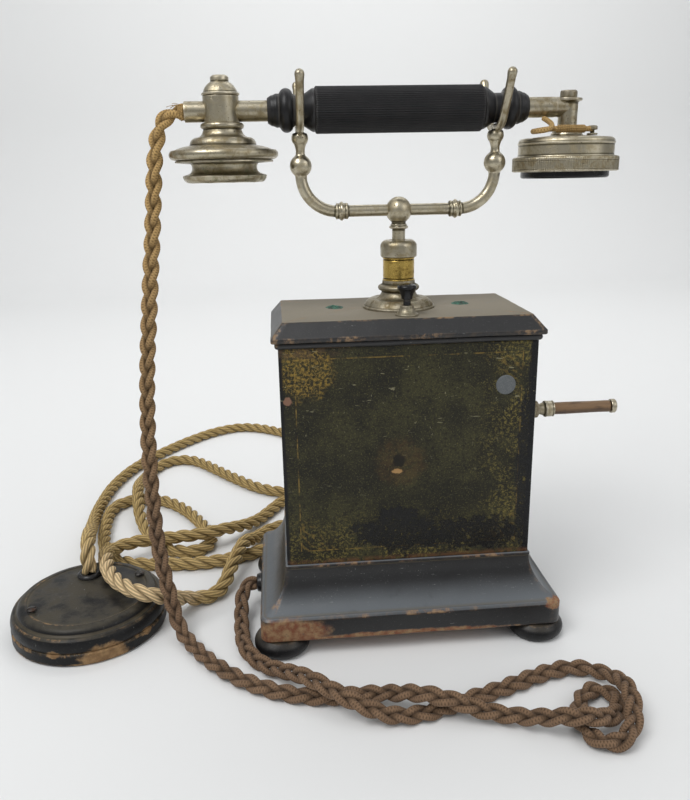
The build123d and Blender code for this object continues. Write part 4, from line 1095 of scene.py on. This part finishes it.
def make_cradle():
    """The stem with its ball, and on each side an arm and its fork."""
    ball_top = 8.2
    bar = box_mm("cradle_stem")[1][2] - ball_top
    stem = lathe((0, -30), (4.15, -30), (4.15, -12.0), (5.2, -11.6), (6.1, -11.0), (6.1, -10.2),
        (5.0, -9.7), (5.3, -9.0), (4.6, -8.6), (4.5, -7.4), ((8.25, 0), (2.6, 7.8)), (1.6, 8.1),
        (0, ball_top), ease=0.35, segments=64)
    piece("cradle_ball", stem.at(0, 0, bar), "cradle", NICKEL, "cradle_stem", uneven=0.06, lump=6)
    for side, word in ((-1, "left"), (1, "right")):
        x = side * (box_mm("forks")[1][0] - 5.3)
        make_arm(word, side, x, bar)
        make_tines(word, x, bar + ARM_BEND + ARM_RISE)
    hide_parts("cradle_arms")
    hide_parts("forks")


def make_button():
    x, y, z = seat("button_base")
    turned_piece("button_socket", "button_base", "root", DULL_NICKEL, (0, 0), (7.2, 0), (7.2, 1.1),
        (6.6, 1.6), ((5.0, 3.2), (4.1, 6.2)), (3.5, 6.5), (0, 6.5), ease=0.4, segments=64, uneven=0.08,
        lump=5)
    knob = lathe((0, 5.0), (2.3, 5.0), (2.3, 9.9), (3.3, 10.2), ((4.0, 13.2), (5.5, 16.4)),
        ((5.8, 17.9), (4.7, 18.9)), ((2.4, 19.5), (0, 19.6)), ease=0.4, segments=64)
    piece("button_knob", knob.at(x, y, z), "button", GLOSS_EBONITE, "push_button")


make_column()
make_cradle()
make_button()


# ---- Handset ----

TUBE_LOW, TUBE_HIGH = box_mm("handset_tube")
AXIS_Z = (TUBE_LOW[2] + TUBE_HIGH[2]) / 2
GRIP_HALF = box_mm("grip")[1][0]


def ribs(angles, radius, _):
    """Fine ribs along the grip's outside."""
    if radius < 12.5:
        return 0.0
    wave = 0.5 + 0.5 * np.cos(angles * 62)
    return 0.42 * (wave ** 0.6 - 1.0)


def make_grip():
    grip = lathe_x((-GRIP_HALF, 6.0), (-GRIP_HALF, 12.4), (-GRIP_HALF + 0.7, 13.6), (GRIP_HALF - 0.7, 13.6),
        (GRIP_HALF, 12.4), (GRIP_HALF, 6.0), segments=496, flutes=ribs, ease=0.5)
    piece("ribbed_grip", grip.at(0, 0, AXIS_Z), "handset", GRIP_EBONITE, "grip", uneven=0.06, lump=10)
    end = lathe_x((GRIP_HALF, 6.0), (GRIP_HALF, 12.6), (GRIP_HALF + 1.6, 12.3), ((56.8, 10.0), (58.6, 8.7)),
        (63.4, 8.7), (64.6, 9.6), ((68.6, 12.7), (72.4, 10.3)), (72.9, 9.6), (74.6, 9.7), (75.6, 9.3),
        (76.4, 8.9), (77.6, 8.7), (80.0, 7.2), (80.0, 6.0), ease=0.5)
    both = end.at(0, 0, AXIS_Z) + end.turned(180, "Z").at(0, 0, AXIS_Z)
    piece("grip_collars", both, "handset", EBONITE, "grip_ends")
    tube = lathe_x((TUBE_LOW[0] + 9, 0), (TUBE_LOW[0] + 9, 4.7), (TUBE_LOW[0] + 0.3, 4.9),
        (TUBE_LOW[0], 5.2), (TUBE_LOW[0], 6.0), (TUBE_HIGH[0], 6.0), (TUBE_HIGH[0], 0), ease=0.25,
        segments=64)
    piece("nickel_tube", tube.at(0, 0, AXIS_Z), "handset", WARM_NICKEL, "handset_tube", uneven=0.05, lump=6)


def make_transmitter():
    turned_piece("transmitter_socket", "transmitter_tee", "handset", NICKEL, (0, 0), (10.6, 0), (10.7, 0.6),
        (10.7, 14.8), (10.3, 15.2), (11.3, 15.6), (11.2, 16.6), (10.2, 17.2), ((8.6, 20.4), (6.4, 22.4)),
        (5.3, 23.2), (5.5, 24.0), (5.4, 25.6), (4.2, 26.6), (0, 26.7), ease=0.35, uneven=0.08, lump=7)

    turned_piece("transmitter_shell", "transmitter_housing", "handset", WARM_NICKEL, (0, 21.5),
        (11.4, 21.5), ((13.1, 19.7), (11.4, 17.9)), (11.8, 17.0), ((13.2, 14.4), (16.0, 13.2)),
        ((18.9, 11.8), (20.0, 8.9)), (20.8, 8.4), ((26.0, 7.4), (30.6, 5.6)), (31.4, 5.9),
        ((33.0, 3.2), (30.6, 0.4)), (28.0, 0), (28.0, 3.2), (17.0, 6.0), (8.0, 9.5), (0, 9.5), ease=0.4,
        segments=128, uneven=0.12, lump=12)

    turned_piece("mouthpiece_horn", "mouthpiece", "handset", GREEN_NICKEL, (17.4, 12.9), (29.6, 12.9),
        (29.8, 11.8), (20.6, 11.2), ((19.7, 8.2), (22.2, 5.2)), (25.3, 4.3), (25.7, 3.9), (25.5, 3.4),
        ((24.6, 1.4), (22.6, 0.1)), (21.6, 0), (20.7, 0.3), ((18.2, 5.0), (17.4, 10.4)), ease=0.3,
        segments=128, uneven=0.15, lump=10)

    turned_piece("transmitter_plate", "transmitter_capsule", "handset", EBONITE, (0, 0.4), (17.2, 0.4),
        (17.4, 0.9), (0, 2.4), ease=0.2, segments=64)


def knurl(angles, radius, _):
    """Fine upright notches round the receiver's ring."""
    return 0.16 * np.cos(angles * 150) if radius > 32.0 else 0.0


def make_receiver():
    turned_piece("receiver_can", "receiver_case", "handset", NICKEL, (0, 14.2), (9.4, 14.2), (10.0, 12.8),
        (26.2, 11.1), ((28.7, 10.4), (29.5, 8.6)), (29.9, 8.2), (29.6, 7.4), (29.3, 7.0), (29.4, 0.8),
        (30.0, 0), (27.4, 0), (27.4, 7.0), (0, 9.4), ease=0.35, segments=128, uneven=0.1, lump=12)
    turned_piece("receiver_knurled_ring", "receiver_ring", "handset", WARM_NICKEL, (27.3, 9.0), (30.8, 9.0),
        ((32.0, 8.7), (32.5, 7.8)), (32.6, 6.9), (32.4, 6.6), (32.5, 6.2), (32.5, 1.8), (32.3, 1.4),
        (32.6, 1.1), (32.5, 0.5), (31.6, 0), (27.3, 0), ease=0.25, segments=600, flutes=knurl)
    turned_piece("receiver_ear_cap", "ear_cap", "handset", GLOSS_EBONITE, (6.0, 8.0), (27.2, 8.0),
        (27.2, 1.6), ((26.8, 0.5), (25.6, 0.1)), ((15.0, 2.2), (6.0, 4.2)), ease=0.4, segments=96)

    x, y, z = seat("receiver_post")
    post = lathe((0, 0), (8.8, 0), (8.8, 1.6), (8.0, 2.4), (6.2, 3.0), (5.8, 4.2), (6.0, 17.6), (6.6, 18.2),
        (8.3, 18.8), (8.3, 20.2), (0, 20.4), ease=0.35, segments=64).at(x, y, z)
    post_x = (box_mm("receiver_post")[0][0] + box_mm("receiver_post")[1][0]) / 2
    stub = lathe_x((TUBE_HIGH[0] - 0.5, 0), (TUBE_HIGH[0] - 0.5, 5.95), (post_x, 5.9), (post_x, 0),
        segments=48)
    piece("receiver_bracket", post + stub.at(0, 0, AXIS_Z), "handset", WARM_NICKEL, "receiver_post",
        uneven=0.06, lump=7)

    top = box_mm("receiver_post")[1][2]
    bolt_x = 106.5
    nut = lathe((0, 0), (5.4, 0), (5.5, 0.8), (5.5, 3.8), (5.0, 4.5), (0, 4.6), ease=0.3, segments=6)
    terminal_x, terminal_y = 119.0, -10.0
    stud = lathe((0, 0), (3.2, 0), (3.2, 1.0), (1.3, 1.1), (1.3, 2.8), (2.9, 3.0), (3.1, 3.4), (3.1, 5.0),
        (2.2, 5.5), (0, 5.6), ease=0.25, segments=36)
    nuts = nut.at(bolt_x, 0, top) + stud.at(terminal_x, terminal_y, box_mm("receiver_nuts")[0][2])
    piece("receiver_hardware", nuts, "handset", DULL_NICKEL, "receiver_nuts", uneven=0.1, lump=3)


make_grip()
make_transmitter()
make_receiver()


# ---- Crank ----


def make_crank():
    low, high = box_mm("crank_shaft")
    shaft_y, shaft_z = (low[1] + high[1]) / 2, (low[2] + high[2]) / 2
    pin_low, pin_high = box_mm("handle_pin")
    handle_y = (pin_low[1] + pin_high[1]) / 2
    arm_low, arm_high = box_mm("crank_arm")
    thick = arm_high[0] - arm_low[0]

    boss = lathe_x((0, 0), (0, 7.6), (0.5, 8.0), (thick - 0.5, 8.0), (thick, 7.4), (thick, 0), segments=64,
        ease=0.5)
    eye = lathe_x((0, 0), (0, 5.4), (0.4, 5.6), (thick - 0.4, 5.6), (thick, 5.2), (thick, 0), segments=48,
        ease=0.5)
    bar = board((0.2, handle_y, shaft_z - 4.6), (thick - 0.2, shaft_y, shaft_z + 4.6), 0.9, "x")
    arm = boss.at(arm_low[0], shaft_y, shaft_z) + eye.at(arm_low[0], handle_y, shaft_z) + bar.at(arm_low[0],
        0, 0)
    piece("crank_lever", arm, "crank", DULL_NICKEL, "crank_arm", uneven=0.1, lump=5)

    end = high[0] - 2.8
    axle = lathe_x((0, 0), (0, 4.0), (end, 4.0), (end, 6.0), (end + 1.2, 5.5),
        ((end + 2.4, 3.0), (end + 2.8, 0)), segments=48)
    shaft = axle.at(0, shaft_y, shaft_z)
    piece("crank_axle", shaft, "crank", NICKEL, "crank_shaft")
    x = box_mm("shaft_bush")[0][0]
    bush = lathe_x((0, 4.1), (0, 6.8), (7, 6.9), (7, 9.4), (8.2, 9.3), (8.6, 8.6), (8.6, 4.1), segments=64,
        ease=0.4)
    piece("crank_bush", bush.at(x, shaft_y, shaft_z), "root", DULL_NICKEL, "shaft_bush")

    tip = pin_high[0]
    pin = lathe_x((pin_low[0], 0), (pin_low[0], 1.8), (tip - 3.8, 1.8), (tip - 3.8, 4.3), (tip - 3.3, 4.6),
        (tip - 1.0, 4.6), (tip - 0.2, 3.9), (tip - 0.6, 3.2), (tip, 2.2), (tip, 0), segments=48, ease=0.3)
    piece("handle_rod", pin.at(0, handle_y, shaft_z), "crank", WARM_NICKEL, "handle_pin", uneven=0.05,
        lump=4)
    low, high = box_mm("handle_ferrule")
    ferrule = lathe_x((low[0], 1.9), (low[0], 3.2), (low[0] + 4.2, 4.4), (low[0] + 4.3, 5.2),
        (low[0] + 5.2, 5.5), (low[0] + 6.0, 5.2), (high[0] - 0.8, 5.1), (high[0] - 0.3, 5.4),
        (high[0], 5.0), (high[0], 1.9), segments=48, ease=0.3)
    piece("handle_collar", ferrule.at(0, handle_y, shaft_z), "crank_handle", NICKEL, "handle_ferrule",
        uneven=0.06, lump=5)
    low, high = box_mm("handle_grip")
    grip = lathe_x((low[0], 1.9), (low[0], 3.9), (low[0] + 8, 4.0),
        ((low[0] + 20, 3.85), (high[0] - 1.2, 3.8)), (high[0], 3.4), (high[0], 1.9), segments=48, ease=0.4)
    piece("handle_wood_grip", grip.at(0, handle_y, shaft_z), "crank_handle", HANDLE_WOOD, "handle_grip",
        uneven=0.12, lump=9)


make_crank()


# ---- Rosette ----

ROSETTE_LOW = box_mm("rosette_base")[0]
ROSETTE_CHIPS = (((ROSETTE_LOW[0] + 72, ROSETTE_LOW[1] + 3, ROSETTE_LOW[2] + 4), 17, 8, 7, (1, 1, 1.6)),
    ((ROSETTE_LOW[0] + 40, ROSETTE_LOW[1] + 1, ROSETTE_LOW[2] + 9), 6, 4, 4, (1, 1, 2)),
    ((ROSETTE_LOW[0] + 96, ROSETTE_LOW[1] + 24, ROSETTE_LOW[2] + 8), 6, 4, 4, (1, 1, 2)))
ROSETTE_WOOD = "black_lacquer", black_lacquer("rosette_lacquer", dust_and_sheen=0.75, wear=1.0,
    dust_and_sheen_colour=tint(74, 69, 58), gloss=0.3, cover=0.3, bald=ROSETTE_CHIPS, rust=tint(116, 90, 62),
    scuffed=0.5, sheen=0.22)


def make_rosette():
    x, y, z = seat("rosette_base")
    base = turned_piece("rosette_back", "rosette_base", "root", ROSETTE_WOOD, (0, 0), (50.2, 0),
        (52.0, 1.4), (52.0, 8.0), (51.2, 9.0), (0, 9.0), ease=0.6, segments=160, uneven=0.25, lump=22)
    cover = lathe((0, 0), (50.6, 0), (51.2, 0.8), ((51.7, 5.0), (50.6, 8.6)), (49.4, 9.8), (47.6, 10.2),
        (46.6, 11.2), ((45.2, 13.6), (42.4, 14.9)), (40.6, 15.1), (39.4, 14.4), ((24.0, 14.9), (8.0, 16.0)),
        (0, 16.2), ease=0.5, segments=160)
    inlet_x, inlet_y, inlet_z = seat("rosette_bush")
    cover = cover.at(x, y, z + 9.0)
    reach = np.hypot(cover.corners[:, 0] - inlet_x * MM, cover.corners[:, 1] - inlet_y * MM)
    cover.corners[:, 2] += np.where(cover.corners[:, 2] > 0.02, 0.0016 * np.exp(-(reach / 0.012) ** 2), 0)
    cover = piece("rosette_lid", cover, "root", ROSETTE_WOOD, "rosette_cover", uneven=0.22, lump=20)
    bush = lathe((0, 0), (5.9, 0), (5.9, 8.2), (8.3, 8.3), (8.6, 9.0), (8.2, 10.2), (7.0, 11.1),
        (5.6, 11.2), (5.2, 10.0), (0, 9.6), ease=0.5, segments=64)
    bush = piece("rosette_gland", bush.at(inlet_x, inlet_y, inlet_z), "root", GLOSS_EBONITE, "rosette_bush")
    low, high = box_mm("rosette_screws")
    head = lathe((0, 0), (3.3, 0), (3.3, 0.7), ((2.0, 1.4), (0, 1.6)), ease=0.2, segments=32)
    slot = board((-3.0, -0.45, 0.9), (3.0, 0.45, 1.7), 0.1)
    one = (head + slot.turned(25, "Z")).at(low[0] + 3.4, low[1] + 3.4, low[2] + 0.3)
    two = (head + slot.turned(-50, "Z")).at(high[0] - 3.4, high[1] - 3.4, low[2] + 0.3)
    screws = piece("rosette_screw_heads", one + two, "root", STEEL, "rosette_screws")
    return [base, cover, bush, screws]


ROSETTE_PIECES = make_rosette()


# ---- Cords ----

# The least height of a cord's skin, in metres.
ABOVE_FLOOR = 0.0002


def cord_route(lying, *points):
    """The points of a cord in metres, from millimetres. A point with no height has the height of lying."""
    return [tuple(round(v * MM, 6) for v in (*point, lying)[:3]) for point in points]


# The same points as the CAD tubes': from the handset's tube to the table and back to the plinth.
HANDSET_CORD_ROUTE = cord_route(5, (-129.3, 0, 337.5), (-138, 0, 337.5), (-145.5, -0.5, 328.5),
    (-149, -1.5, 312), (-151.5, -2.5, 289), (-154.8, -4.5, 260), (-158.5, -7.5, 229), (-162.8, -10.5, 193),
    (-166.3, -14, 152), (-167.3, -18, 110), (-166.5, -21.5, 74), (-163.5, -24.5, 45), (-159.5, -27.5, 24.5),
    (-159.4, -27.6, 24), (-157.4, -29.1, 13.7), (-152.5, -38, 5.9), (-141.5, -56), (-127.5, -74.5),
    (-108, -93), (-84.5, -106.5), (-60.5, -112.5), (-41.5, -111.5), (-25, -117.5, 9), (-9, -127.5, 15.8),
    (8, -135, 15.8), (24, -137, 9), (40, -140, 6), (54, -148, 9.5), (68, -156.5, 15.8), (83, -158, 15.8),
    (95, -152, 9), (104, -143), (108, -133.5), (105, -125), (97.5, -122), (89.5, -127), (83, -136),
    (79, -147), (79.5, -158.5), (86, -166.5), (96, -167, 6), (104.5, -160, 10), (109.5, -148, 15),
    (112.5, -131, 15), (112, -116, 8), (104.5, -104.5), (91, -100.5), (73, -104.5), (55, -112),
    (37.5, -118.5), (20.5, -123.5), (4.5, -129.5), (-11.5, -133.5), (-27, -134, 7), (-43, -130, 13),
    (-57, -120.5, 15.8), (-71, -106, 15.8), (-83.5, -90.5, 9), (-98.5, -77.5), (-110.5, -58.5), (-113, -37),
    (-113.8, -22, 8.5), (-113.5, -11.5, 14), (-111.8, -4.5, 18), (-107.8, -1, 19.8), (-102.7, -1, 19.8))

# From the plinth's back through its loose coils to the rosette.
LINE_CORD_ROUTE = cord_route(5.2, (-30, 71.3, 20), (-30, 83, 20), (-28.5, 103, 11), (-27, 126),
    (-33.5, 150), (-44, 167), (-58, 176.5), (-73.5, 177), (-86, 168.5), (-95, 151), (-105, 133.5),
    (-118, 114, 9.5), (-133, 96.5, 16.2), (-150, 89, 16.2), (-168.5, 86.5, 16.2), (-187, 85, 16.2),
    (-204, 82, 16.2), (-216.5, 73, 16.6), (-220.5, 57.5, 20), (-216.5, 36, 31), (-209.5, 10, 31.6),
    (-202.5, -4, 31.6), (-193, -15.5, 31.6), (-181, -24.5, 31.2), (-169.5, -22.5, 26),
    (-161.5, -10.5, 17.5), (-155, 1, 9.8), (-146, 6.5, 5.4), (-136.5, 9.5), (-129, 18, 6.5), (-124, 34, 13),
    (-119.5, 52, 16.4), (-114.5, 73, 16.4), (-108.5, 90, 8.5), (-102.5, 104), (-94, 115), (-82, 120),
    (-71.5, 115), (-66, 103), (-70.5, 91), (-82.5, 83), (-99, 76), (-116, 68), (-134, 62), (-152, 59.5),
    (-170, 61.5), (-187, 62.5), (-204, 65), (-219, 73.5), (-229.5, 88.5), (-235.5, 108), (-239.5, 131),
    (-242, 156), (-241.5, 175), (-234, 188.5), (-220.5, 194), (-204, 191.5), (-186.5, 180), (-171.5, 161),
    (-159.5, 140), (-150, 120), (-143.5, 102), (-146, 87.5), (-157.5, 79.5), (-173, 82.5), (-188, 97),
    (-200, 117), (-210, 141, 9), (-216.5, 168, 16.2), (-221, 196, 16.4), (-224.5, 226, 9), (-222, 255),
    (-215, 278), (-204, 292), (-189, 296), (-173, 288), (-151, 259.5), (-128, 229.5), (-105.5, 204.5),
    (-83.5, 191.5), (-60, 191), (-39, 203), (-24.5, 228), (-19, 261), (-27, 296), (-44, 327), (-64, 352),
    (-85, 374), (-109, 392.5), (-136, 399), (-163.5, 385), (-189, 359), (-211.5, 328), (-231, 297),
    (-244.5, 264), (-252.5, 229), (-254.5, 193), (-253, 158, 7.5), (-247.5, 123, 13), (-240.5, 91, 24),
    (-233.5, 62, 36), (-227.5, 37, 44), (-223.5, 20.5, 47), (-223.5, 14.5, 40), (-223.5, 14.5, 28.4))


def resampled(places, along, rows):
    """The rows of three numbers that are known at along, as they are at places."""
    return np.stack([np.interp(places, along, rows[:, k]) for k in range(3)], 1)


def smooth_line(name, route, step=0.0009):
    """Evenly spaced points on one NURBS spline whose control points are the route's."""
    curve = bpy.data.curves.new(name, "CURVE")
    curve.dimensions = "3D"
    curve.resolution_u = 20
    spline = curve.splines.new("NURBS")
    spline.points.add(len(route) - 1)
    for point, spot in zip(spline.points, route):
        point.co = (*spot, 1.0)
    spline.order_u = 3
    spline.use_endpoint_u = True
    guide = linked(name, curve)
    ready = guide.evaluated_get(bpy.context.evaluated_depsgraph_get())
    mesh = bpy.data.meshes.new_from_object(ready)
    line = np.array([vertex.co for vertex in mesh.vertices])
    bpy.data.objects.remove(guide)
    bpy.data.meshes.remove(mesh)
    bpy.data.curves.remove(curve)
    along = run_length(line)
    places = np.linspace(0, along[-1], int(along[-1] / step))
    return resampled(places, along, line)


def plait_axes(line, facing):
    """Two directions across the line, which turn slowly: the plait's width, and the way that it faces."""
    ahead, across, up = run_frames(line)
    facing = np.array(facing) / np.linalg.norm(facing)
    angle = 0.0
    wide = np.zeros_like(line)
    for i, way in enumerate(ahead):
        wanted = np.cross(way, facing)
        strength = np.linalg.norm(wanted)
        goal = math.atan2(np.dot(wanted, up[i]), np.dot(wanted, across[i]))
        gap = (goal - angle + math.pi / 2) % math.pi - math.pi / 2
        angle += gap * (1.0 if i == 0 else 0.05 * strength)
        wide[i] = across[i] * math.cos(angle) + up[i] * math.sin(angle)
    return wide, np.cross(ahead, wide)


def marked_seams(form, line, low, high):
    """A strand with its skin marked -1 where it lies near the cord's middle line, where the seams are and
    the textile paints shade.
    """
    around = (len(form.corners) - 2) // len(line)
    middles = np.vstack([np.repeat(line, around, axis=0), line[:1], line[-1:]])
    reach = np.linalg.norm(form.corners - middles, axis=1)
    form.edges = -np.clip((high - reach) / (high - low), 0.0, 1.0)
    return form


def stranded(line, period, thick, seams, sway):
    """Three strands round a line. sway is their way from it, thick their radius and its unevenness."""
    along = run_length(line)
    radius, lump, every, shift = thick
    strands = []
    for k in range(3):
        phase = math.tau * (along / period + k / 3)
        swell = radius + lump * np.sin(along / every + shift * k)
        strands.append(marked_seams(sweep(line + sway(phase[:, None]), swell, 14, uv=True), line, *seams))
    cord = joined_forms(strands)
    cord.corners[:, 2] = np.maximum(cord.corners[:, 2], ABOVE_FLOOR)
    return cord


def make_handset_cord():
    """Three braided strands in a flat plait."""
    line = smooth_line("handset_cord_guide", HANDSET_CORD_ROUTE)
    wide, deep = plait_axes(line, (-0.1, -0.6, 0.8))
    plait = stranded(line, 0.038, (0.00212, 0.00008, 0.017, 1), (0.0020, 0.0042),
        lambda phase: 0.0031 * np.sin(phase) * wide + 0.0017 * np.sin(2 * phase) * deep)
    cord = piece("handset_cord", plait, "root", PLAIT)
    cord.parent = None
    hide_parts("handset_cord_drop", "handset_cord_floor")
    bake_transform(cord)


def make_line_cord():
    """Three laid strands of rope."""
    line = smooth_line("line_cord_guide", LINE_CORD_ROUTE, 0.0012)
    _, across, up = run_frames(line)
    rope = stranded(line, 0.036, (0.00252, 0.00007, 0.023, 2), (0.0032, 0.0052),
        lambda phase: 0.0029 * (np.cos(phase) * across + np.sin(phase) * up))
    cord = piece("line_cord_rope", rope, "root", ROPE, "line_cord")


def make_cord_bushes():
    low, high = box_mm("cord_bushes")
    side_y, side_z = HANDSET_CORD_ROUTE[-1][1] / MM, HANDSET_CORD_ROUTE[-1][2] / MM
    side = lathe_x((low[0], 0), (low[0], 5.4), (low[0] + 0.5, 6.2), (low[0] + 3.7, 7.1), (low[0] + 3.9, 0),
        ease=0.5, segments=56)
    back_x, back_z = LINE_CORD_ROUTE[0][0] / MM, LINE_CORD_ROUTE[0][2] / MM
    back = lathe((0, 0), (7.4, 0), (7.2, 0.8), (6.2, 5.2), (5.6, 6.2), (0, 6.3), ease=0.5, segments=56)
    both = side.at(0, side_y, side_z) + back.turned(-90, "X").at(back_x, high[1] - 6.3, back_z)
    piece("cord_inlet_bushes", both, "root", GLOSS_EBONITE, "cord_bushes")


def make_tube_whipping():
    """Thread wound where the plait goes into the handset's tube, with a few loose ends."""
    x = TUBE_LOW[0]
    turns = np.linspace(0, 7 * math.tau, 360)
    spread = np.linspace(x - 3.4, x + 1.6, 360)
    wobble = 0.25 * np.sin(turns * 0.37)
    line = np.stack([spread, (4.2 + wobble) * np.cos(turns), AXIS_Z - 0.4 + (4.0 - wobble) * np.sin(turns)],
        1) * MM
    forms = [sweep(line, 0.00052, 8, uv=True)]
    random.seed(7)
    for _ in range(5):
        reach = random.uniform(5, 9)
        start = Vector((x - 1.5, random.uniform(-3, 3), AXIS_Z + 3.4))
        tip = start + Vector((-reach, random.uniform(-2, 2), random.uniform(-1.5, 1.5)))
        middle = (start + tip) / 2 + Vector((0, 0, random.uniform(1.0, 2.2)))
        line = np.array([tuple((start * (1 - t) ** 2 + middle * 2 * t * (1 - t) + tip * t * t) * MM)
            for t in np.linspace(0, 1, 16)])
        forms.append(sweep(line, 0.00016, 6, uv=True))
    piece("tube_whipping", joined_forms(forms), "handset", SERVING)


def make_receiver_lead():
    """The short lead that comes out under the tube, loops over the can and is bound near its terminal."""
    route = [(90, -3, 331), (93.5, -8, 328), (92.5, -13, 324.8), (88, -16, 323.4), (82.5, -14.5, 322.8),
        (81, -9.5, 322.8), (85, -6.2, 323.4), (90.5, -8.5, 324.2), (96, -13, 324.2), (103, -15.6, 323.9),
        (110, -14.6, 323.9), (116, -11.6, 323.9), (119, -9.6, 323.9)]
    route = [tuple(v * MM for v in point) for point in route]
    line = smooth_line("lead_guide", route, 0.0005)
    lead = sweep(line, 0.0016, 12, uv=True)
    bound = line[(line[:, 0] > 0.0955) & (line[:, 1] < -0.009) & (line[:, 0] < 0.1125)]
    _, across, up = run_frames(bound)
    steps = run_length(bound)
    fine = np.linspace(0, steps[-1], 420)
    middle, sides, tops = (resampled(fine, steps, rows) for rows in (bound, across, up))
    spin = fine / 0.00095 * math.tau
    coil = middle + 0.0019 * (np.cos(spin)[:, None] * sides + np.sin(spin)[:, None] * tops)
    piece("receiver_lead_loop", lead, "handset", PLAIT, "receiver_lead")
    piece("receiver_lead_binding", sweep(coil, 0.00050, 8, uv=True), "handset", SERVING)


make_handset_cord()
make_line_cord()
make_cord_bushes()
make_tube_whipping()
make_receiver_lead()


# ---- Pieces inside the case, which keep their CAD shapes ----

INSIDE = {"base_board": BOARD_WOOD, "shelf": BOARD_WOOD, "cradle_spring": BRASS, "button_spring": BRASS,
    "hook_switch": BRASS, "drive_gear": BRASS, "magneto_plates": BRASS, "ringer_frame": BRASS,
    "gongs": NICKEL, "magnets": STEEL, "armature": STEEL, "hammer": STEEL, "diaphragm": STEEL,
    "receiver_magnet": STEEL, "ringer_coils": WINDING, "induction_coil": WINDING}
for name, (_, material) in INSIDE.items():
    mesh = nodes[name].data
    mesh.materials.clear()
    mesh.materials.append(material)

set_camera()
set_stage()
set_studio()
